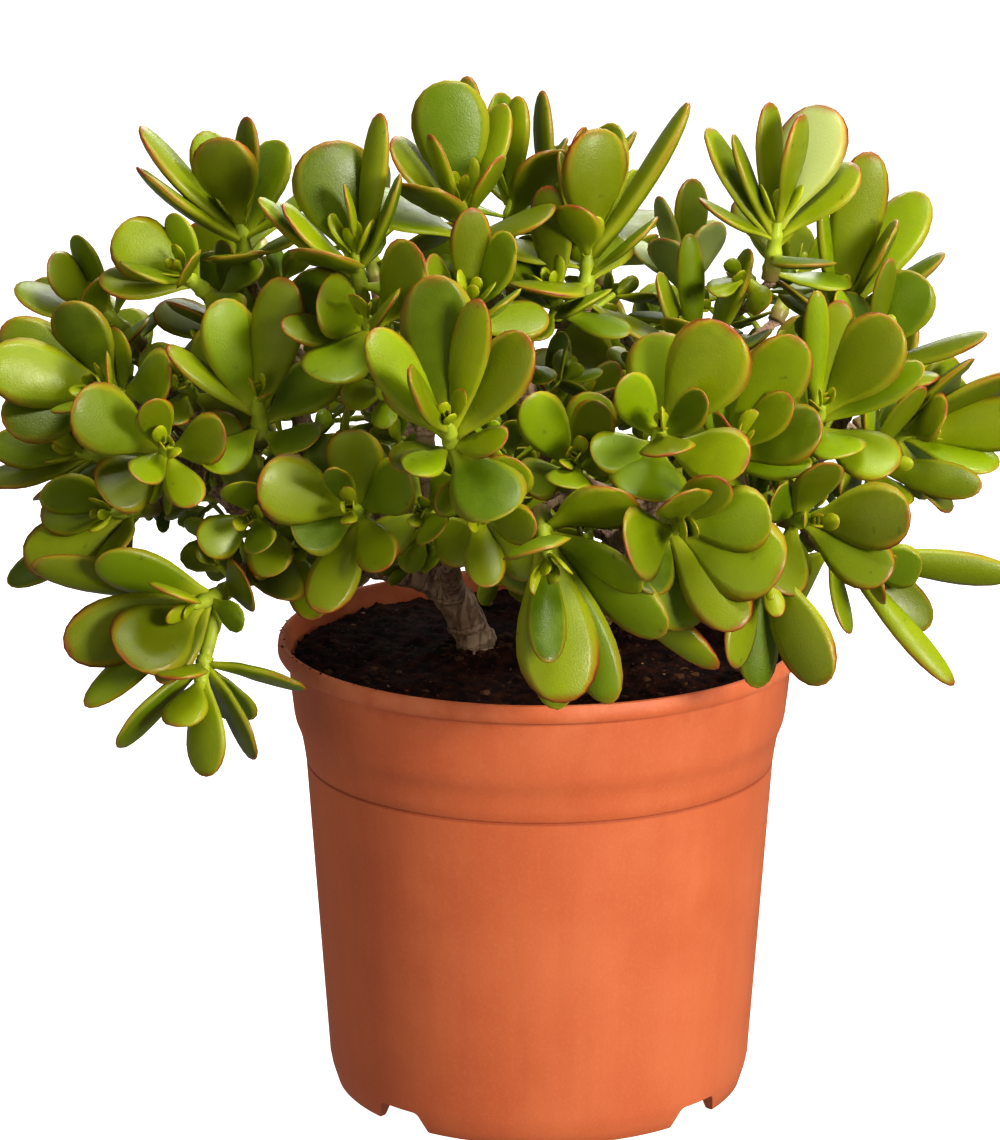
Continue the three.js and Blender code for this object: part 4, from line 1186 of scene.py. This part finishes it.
def model_leaf(name, stations, segments=8, curl=LEAF_CURL, cup=0.0):
    deselect_all()
    rings = len(stations) + 1
    bpy.ops.mesh.primitive_uv_sphere_add(segments=segments, ring_count=rings, radius=1)
    leaf = bpy.context.object
    leaf.rotation_euler.x = -math.pi / 2  # poles along Y: the root at one end, the tip at the other
    settle(leaf, name)
    bpy.ops.object.mode_set(mode="EDIT")
    pick(leaf, lambda place: place.z > 0.001)
    bpy.ops.transform.resize(value=(1, 1, UPPER_FLATNESS), center_override=(0, 0, 0))
    for index, (along, width, thickness) in enumerate([(0, 0, 0)] + stations + [(1, 0, 0)]):
        now = -math.cos(math.pi * index / rings)
        radius = math.sin(math.pi * index / rings)
        pick(leaf, lambda place: abs(place.y - now) < ON_RING)
        if 0 < index < rings:
            scale = (width / radius, 1, thickness * LEAF_THICKNESS / 2 / radius)
            bpy.ops.transform.resize(value=scale, center_override=(0, now, 0))
        bpy.ops.transform.translate(value=(0, along - now + PARKED, curl * along * along))
    bpy.ops.mesh.select_all(action="SELECT")
    bpy.ops.transform.translate(value=(0, -PARKED, 0))
    bpy.ops.object.mode_set(mode="OBJECT")
    mark_leaf(leaf.data, stations)
    bpy.ops.object.mode_set(mode="EDIT")
    pick(leaf, lambda place: abs(place.x) > CUPPED_OUTSIDE and place.y > CUPPED_BEYOND)
    bpy.ops.transform.translate(value=(0, 0, cup))
    bpy.ops.object.mode_set(mode="OBJECT")
    bpy.ops.object.shade_smooth()
    print(name, "faces:", len(leaf.data.polygons))
    return leaf


broad_leaves = [
    model_leaf("broad_leaf", BROAD),
    model_leaf("cupped_leaf", BROAD, curl=0.11, cup=0.022),
    model_leaf("flat_leaf", BROAD, curl=0.035, cup=-0.008),
]
narrow_leaves = [
    model_leaf("narrow_leaf", NARROW),
    model_leaf("bowed_leaf", NARROW, curl=0.12, cup=0.01),
]
small_leaf = model_leaf("small_leaf", SMALL, segments=6)

# %% [markdown]
# The green stem between the leaves is round and jointed, with a low swelling
# where each pair of leaves clasped it.  Like the pot it is drawn as a chain of
# points and spun, one unit tall and one unit in radius.

# %% Stem shapes
STEM_PROFILE = [  # (radius, height), both as shares
    (0.9, 0.0), (1.12, 0.02), (1.06, 0.12), (1.16, 0.16), (1.16, 0.2), (1.0, 0.25), (0.98, 0.36),
    (1.08, 0.41), (1.08, 0.45), (0.92, 0.5), (0.86, 0.62), (0.94, 0.67), (0.9, 0.72), (0.72, 0.77),
    (0.6, 0.88), (0.42, 0.95), (0, 1.0),
]
SIDE_PROFILE = [  # a side stem runs on into its shoot, so it keeps its width to the end
    (0.9, 0.0), (1.1, 0.04), (1.0, 0.14), (0.97, 0.4), (1.1, 0.47), (1.1, 0.53), (0.96, 0.6),
    (0.94, 0.9), (0.9, 0.97), (0, 1.0),
]
TWIGLET_PROFILE = [(1.0, 0.0), (0.9, 0.3), (1.05, 0.42), (0.85, 0.5), (0.8, 0.95), (0, 1.0)]
GREEN_FROM = 0.6  # a side shoot is young all over, so its stem starts at this station
UNIT = 1 / MM  # the chain is drawn in mm, so this makes it one metre
MERGE_UNIT = 0.001  # of the stem's height


def turn_stem(name, profile, sides, youngest=0.0):
    points = [(0, 0)] + [(radius * UNIT, height * UNIT) for radius, height in profile]
    stem = turn_profile(points, sides, MERGE_UNIT)
    bpy.ops.object.shade_smooth()
    settle(stem, name)
    add_value(stem.data, "margin", [0.5] * len(stem.data.vertices))
    add_value(stem.data, "station", [
        youngest + (1 - youngest) * vertex.co.z for vertex in stem.data.vertices])
    print(name, "faces:", len(stem.data.polygons))
    return stem


jointed_stem = turn_stem("jointed_stem", STEM_PROFILE, 12)
side_stem = turn_stem("side_stem", SIDE_PROFILE, 12, GREEN_FROM)
side_tip = turn_stem("side_tip", STEM_PROFILE, 12, GREEN_FROM)
twiglet = turn_stem("twiglet", TWIGLET_PROFILE, 6)

# %% [markdown]
# ## Leaf colour
# The flesh is green and a little translucent, lighter and yellower at the root
# and on young leaves.  Near the edge it is lighter too: partly the leaf's own
# yellower margin and partly painted rim light.  Each leaf has its own tint and
# age, stored on its vertices, and a few thin ones with the light behind them get
# a painted glow of backlight.

# %% Green of the flesh
skin = Finish(
    "leaf_skin", Roughness=0.36, IOR=1.42, Specular_IOR_Level=0.4, Coat_Weight=0.06,
    Coat_Roughness=0.22, Subsurface_Weight=0.1, Subsurface_Scale=0.004,
    Subsurface_Radius=(0.8, 1.0, 0.2))
margin = skin.value("margin")
station = skin.value("station")
redness = skin.value("redness")
mottle = skin.noise(130, 3, 0.6)
spots = skin.noise(260, 1, 0.4)
tint = skin.ramp(skin.value("tint"), 0, 1, smooth=False)
green = skin.mix(tint, rgb(70, 90, 4), rgb(130, 152, 12))
green = skin.mix(skin.ramp(skin.value("age"), 0.35, 0.0, 0, 0.75), green, rgb(164, 176, 30))
green = skin.mix(skin.ramp(mottle, 0.35, 0.75, 0, 0.35), green, rgb(104, 124, 6))
green = skin.mix(skin.ramp(redness, 0.4, 1.0, 0, 0.18), green, rgb(146, 128, 22))
# Painted backlight: a few thin leaves with the light behind them are mixed towards a pale glow.
green = skin.mix(skin.value("pale"), green, rgb(196, 208, 138))
green = skin.mix(skin.ramp(station, 0.36, 0.02, 0, 0.75), green, rgb(176, 184, 50))
# Lighter towards the margin: partly the leaf's own yellower edge, partly painted rim light.
green = skin.mix(skin.ramp(margin, 0.7, 0.97, 0, 0.42), green, rgb(180, 184, 52))
green = skin.mix(skin.ramp(spots, 0.74, 0.78, 0, 0.35), green, rgb(62, 70, 12))
print("nodes for the green:", len(skin.nodes))

# %% [markdown]
# Where the sun has caught a leaf, its margin blushes orange and its outermost
# line turns red, most of all at the tip.  How red a leaf gets is stored on it,
# and patches of noise break the line up, as on the real plant.

# %% Red of the margin
patchy = skin.ramp(skin.noise(55, 2, 0.5), 0.3, 0.6, 0.35, 1)
blush = skin.product(
    skin.ramp(margin, 0.64, 0.98), skin.ramp(station, 0.45, 0.95), redness, patchy, 0.8)
line = skin.product(
    skin.ramp(margin, 0.88, 0.98), skin.ramp(station, 0.5, 0.93, 0.08, 1), redness, patchy)
tip = skin.product(skin.ramp(station, 0.91, 1.03), redness, patchy)
leaf_colour = skin.mix(blush, green, rgb(162, 106, 38))
leaf_colour = skin.mix(skin.maths("MAXIMUM", line, tip), leaf_colour, rgb(126, 42, 30))
print("nodes with the red:", len(skin.nodes))

# %% [markdown]
# The stem between the leaves shares this material: a stored number says what is
# stem.  It is brownish at its foot, where it turns to wood, and green above.
# The skin of both is waxy with fine dimples, so it takes soft highlights.

# %% Stem and wax
dimples = skin.noise(1500, 2, 0.5)
stem_green = skin.mix(skin.ramp(station, 0.0, 0.5), rgb(142, 124, 80), rgb(166, 182, 58))
stem_green = skin.mix(skin.ramp(mottle, 0.5, 0.75, 0, 0.5), stem_green, rgb(134, 128, 70))
skin.set("Base Color", skin.mix(skin.value("stem"), leaf_colour, stem_green))
skin.set("Roughness", skin.ramp(mottle, 0.3, 0.7, 0.34, 0.5))
skin.set("Normal", skin.bump(dimples, 0.00016, 0.6))
print("nodes in the whole skin:", len(skin.nodes))

# %% [markdown]
# ## Placing the leaves
# A copy of a master is stretched and turned by one matrix, whose columns are the
# piece's own axes in space, and gets the numbers that its colour reads.  On a
# leaf the third axis faces up the stem, so its flatter side does.

# %% Copy and turn
chance = Dice(7)
LEAST_REDNESS = 0.25
# Places, as seen, where thin leaves with the light behind them get a painted glow of backlight.
BACKLIT_PLACES = [(44, 312), (60, 310), (96, 350), (126, 323)]  # (across, up), as seen
BACKLIT_WITHIN = 9  # mm
BACKLIGHT_PAINT = 0.55
MIDDLE_OF_LEAF = 0.6  # share of the length


def copy_to(master, matrix, tint, age, redness, stem=0.0, pale=0.0):
    piece = master.copy()
    piece.data = master.data.copy()
    scene.collection.objects.link(piece)
    piece.data.transform(matrix)
    values = {"tint": tint, "age": age, "redness": redness, "stem": stem, "pale": pale}
    for name, value in values.items():
        add_value(piece.data, name, [value] * len(piece.data.vertices))
    return piece


def axes_to_matrix(x_axis, y_axis, z_axis, place):
    matrix = Matrix.Identity(4)
    for column, vector in enumerate((x_axis, y_axis, z_axis, place)):
        matrix.col[column].xyz = vector * MM
    return matrix


# Painted backlight: a leaf whose middle is seen near one of these places gets a pale glow.
def painted_backlight_glow(leaf):
    place = leaf["root"] + leaf["along"] * (leaf["length"] * MIDDLE_OF_LEAF)
    t = (EYE_DISTANCE + place.y) / EYE_DISTANCE
    across, up = place.x / t, EYE_HEIGHT + (place.z - EYE_HEIGHT) / t
    near = min(math.hypot(across - x, up - z) for x, z in BACKLIT_PLACES)
    return BACKLIGHT_PAINT if near < BACKLIT_WITHIN else 0.0


def place_leaf(leaf, master):
    across = leaf["along"].cross(leaf["face"])
    matrix = axes_to_matrix(
        across * (leaf["width"] / 2), leaf["along"] * (leaf["length"] - LEAF_ROOT),
        leaf["face"] * leaf["length"], leaf["root"] + leaf["along"] * LEAF_ROOT)
    redness = min(1, LEAST_REDNESS + chance.roll())
    return copy_to(master, matrix, chance.roll(), leaf["age"], redness, pale=painted_backlight_glow(leaf))


def place_stem(start, end, radius, master):
    line = end - start
    side = line.orthogonal().normalized()
    matrix = axes_to_matrix(side * radius, line.normalized().cross(side) * radius, line, start)
    return copy_to(master, matrix, 0.5, 0.5, 0, stem=1.0)


print("leaves in pale places:", sum(painted_backlight_glow(leaf) > 0 for leaf in leaves))

# %% [markdown]
# Every head gets its stem and, at the very tip, pairs of tiny young leaves that
# close it.  A tip whose own young pair had no room in the solid plant gets a
# spare pair, or it would look bare.  A side shoot has two stems: one that leads
# to it from the fork, a millimetre past its foot so that no gap opens where it
# bends, and its own.

# %% Stems and growing tips
BUDS = [(0.2, 0.2, 1.2), (0.32, 0.3, 2.2)]  # (length share, pitch, mm below the tip)
SPARE_PAIR = (0.46, 0.55, 3.4)
BUD_WIDTH = 0.5  # share of the length
STOUT, SLIM = 1.05, 0.95  # of the stem's radius


def leaf_on(head, direction_turn, pitch, below, length, width, age):
    """A leaf that opens by 'pitch' from the stem, 'below' mm under its tip."""
    grow = head["grow"]
    radial = turned(grow.orthogonal().normalized(), grow, direction_turn)
    along = grow * math.cos(pitch) + radial * math.sin(pitch)
    return {"root": head["tip"] - grow * below, "along": along,
            "face": (grow - along * grow.dot(along)).normalized(),
            "length": length, "width": width, "age": age}


shoots = {}
covered = {leaf["head"]["index"] for leaf in leaves if leaf["age"] == 0}
for head in heads:
    name = head["name"]
    if head["fork"]:
        past_foot = head["foot"] + (head["foot"] - head["fork"]).normalized()
        shoots[name].append(place_stem(head["fork"], past_foot, STEM_RADIUS * SLIM, side_stem))
        shoots[name].append(place_stem(head["foot"], head["tip"], STEM_RADIUS, side_tip))
    else:
        shoots[name] = [place_stem(head["foot"], head["tip"], STEM_RADIUS * STOUT, jointed_stem)]
    start = chance.roll() * math.pi
    buds = BUDS if head["index"] in covered else BUDS + [SPARE_PAIR]
    for pair, (share, pitch, below) in enumerate(buds):
        for half in range(2):
            length = head["size"] * share
            bud = leaf_on(head, start + pair * math.pi / 2 + half * math.pi, pitch, below,
                          length, length * BUD_WIDTH, 0)
            shoots[name].append(place_leaf(bud, small_leaf))
print("growing tips:", len(heads), "with a spare pair:", len(heads) - len(covered))

# %% [markdown]
# Now each leaf that was found in the solid plant gets its copy.  Narrow leaves
# take a narrow master, and the dice choose among the masters of a kind, so that
# some leaves are cupped, some flat and some bowed.

# %% Leaves on the shoots
NARROW_BELOW = 0.52  # width as a share of the length

for leaf in leaves:
    masters = narrow_leaves if leaf["width"] < NARROW_BELOW * leaf["length"] else broad_leaves
    master = masters[int(chance.roll() * len(masters))]
    shoots[leaf["head"]["name"]].append(place_leaf(leaf, master))
print("shoots:", len(shoots), "pieces on them:", sum(len(parts) for parts in shoots.values()))

# %% [markdown]
# ## Small leaves inside the crown
# An old plant also carries small leaves low on its stems and sprouts short
# shoots from its bare wood.  They fill the crown from inside and keep one from
# seeing through it.  A small leaf is kept only where it finds room: space is
# noted down in small cells, and a cell that holds a surface already is taken.

# %% Room in the crown
ROOM = 0.002  # edge of a cell, m
LOWEST_LEAF = 0.19  # m
CLOSE_BY = 7  # cells
# points on a leaf that feel for room: (share of the length, share of the half width)
FEELERS = [(0.4, 0), (0.6, 0.9), (0.6, -0.9), (0.8, 0), (0.85, 0.7), (0.85, -0.7), (1.02, 0)]
taken = set()


def cell_of(place):
    return tuple(int(value // ROOM) for value in place)


def note_down(piece):
    taken.update(cell_of(vertex.co) for vertex in piece.data.vertices)


def any_taken(place, reach, step):
    x, y, z = cell_of(place)
    offsets = range(-reach, reach + 1, step)
    return any((x + i, y + j, z + k) in taken for i in offsets for j in offsets for k in offsets)


def finds_room(leaf):
    across = leaf["along"].cross(leaf["face"])
    points = [(leaf["root"] + leaf["along"] * (leaf["length"] * u) + across * (leaf["width"] / 2 * x)
               + leaf["face"] * (LEAF_CURL * leaf["length"] * u * u)) * MM for u, x in FEELERS]
    if min(point.z for point in points) < LOWEST_LEAF:
        return False
    if any(any_taken(point, 1, 1) for point in points):
        return False
    return any_taken(points[-1], CLOSE_BY, 2)  # other leaves are near, so the crown keeps its form


for piece in list(woods.values()) + [part for parts in shoots.values() for part in parts]:
    note_down(piece)
print("cells taken:", len(taken))

# %% [markdown]
# On the stems, a few places are tried at random for each head, below the leaves
# that stand there already.

# %% Small leaves low on the stems
LEAF_TRIES = 14
LOW_LEAF = (0.38, 0.62)  # length as a share of the head's leaf size
LOW_FROM = 4  # mm below the tip
LOW_PITCH = (0.7, 1.6)  # radians from the stem


def between(least, most):
    return least + (most - least) * chance.roll()


added = 0
for head in heads:
    for _ in range(LEAF_TRIES):
        length = head["size"] * between(*LOW_LEAF)
        below = between(LOW_FROM, head["reach"])
        turn = chance.roll() * 2 * math.pi
        pitch = between(*LOW_PITCH)
        leaf = leaf_on(head, turn, pitch, below, length, length * WIDTH_OF_LENGTH, chance.roll())
        if finds_room(leaf):
            piece = place_leaf(leaf, small_leaf)
            note_down(piece)
            shoots[head["name"]].append(piece)
            added += 1
print("small leaves on the stems:", added)

# %% [markdown]
# A short shoot is a little twig with up to three pairs of leaves.  It sprouts at
# a random place on the bark, points out of the wood, out of the crown and a
# little up, and is kept if most of its leaves find room and no other short shoot
# stands close.

# %% Short shoots from the bare wood
LOWEST_SPROUT = 0.203  # m
SPUR_PAIRS = [(0.55, 0.35, 0.5), (0.85, 0.8, 1.5), (1, 1.2, 3.5)]  # (length share, pitch, mm below)
SPUR_TRIES = 2600
SPURS_WANTED = 140
SPUR_SPACING = 0.009  # m
SPUR_LENGTH = (8, 15)  # mm
SPUR_LEAF = (13, 22)  # mm
SPUR_RADIUS = 1.4  # mm
LEAST_LEAVES = 3
CROWN_MIDDLE = Vector((0, 0, 0.21))
OUTWARD, UPWARD = 0.5, Vector((0, 0, 0.35))


def spur_leaves(spur):
    start = chance.roll() * math.pi
    for pair, (share, pitch, below) in enumerate(SPUR_PAIRS):
        for half in range(2):
            turn = start + pair * math.pi / 2 + half * math.pi + chance.jitter(0.3)
            length = spur["size"] * share
            leaf = leaf_on(spur, turn, pitch + chance.jitter(0.2), below,
                           length, length * WIDTH_OF_LENGTH, between(0.2, 1.0))
            if finds_room(leaf):
                yield leaf


def sprout_from(wood):
    vertices = wood.data.vertices
    parts, bases = [], []
    for _ in range(SPUR_TRIES):
        vertex = vertices[int(chance.roll() * len(vertices))]
        crowded = any((vertex.co - base).length < SPUR_SPACING for base in bases)
        if crowded or vertex.co.z < LOWEST_SPROUT:
            continue
        outward = (vertex.co - CROWN_MIDDLE).normalized()
        grow = (vertex.normal + outward * OUTWARD + UPWARD).normalized()
        base = vertex.co / MM - grow
        spur = {"grow": grow, "tip": base + grow * between(*SPUR_LENGTH), "size": between(*SPUR_LEAF)}
        found = list(spur_leaves(spur))
        if len(found) < LEAST_LEAVES:
            continue
        grown = [place_stem(base, spur["tip"], SPUR_RADIUS, twiglet)]
        grown += [place_leaf(leaf, small_leaf) for leaf in found]
        for piece in grown:
            note_down(piece)
        parts += grown
        bases.append(vertex.co.copy())
        if len(bases) == SPURS_WANTED:
            break
    print(wood.name, "short shoots:", len(bases))
    return parts


sprouts = {node + "_short_shoots": sprout_from(wood) for node, wood in woods.items()}

# %% [markdown]
# The stem, leaves and buds of one shoot are joined into one piece, because they
# grew as one.  That piece takes the place of the shoot's solid in the frame.  The
# short shoots of a trunk are one piece too.  The masters have done their work.

# %% Join each shoot
def finish_shoot(parts, name):
    shoot = join_all(parts, name)
    shoot.data.materials.clear()
    shoot.data.materials.append(skin.material)
    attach(shoot, "root")
    return shoot


for name, parts in shoots.items():
    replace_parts(finish_shoot(parts, name + "_leaves"), name)
for name, parts in sprouts.items():
    finish_shoot(parts, name)
stem_masters = [jointed_stem, side_stem, side_tip, twiglet]
for master in broad_leaves + narrow_leaves + [small_leaf] + stem_masters:
    bpy.data.objects.remove(master)
print("joined pieces:", len(shoots) + len(sprouts))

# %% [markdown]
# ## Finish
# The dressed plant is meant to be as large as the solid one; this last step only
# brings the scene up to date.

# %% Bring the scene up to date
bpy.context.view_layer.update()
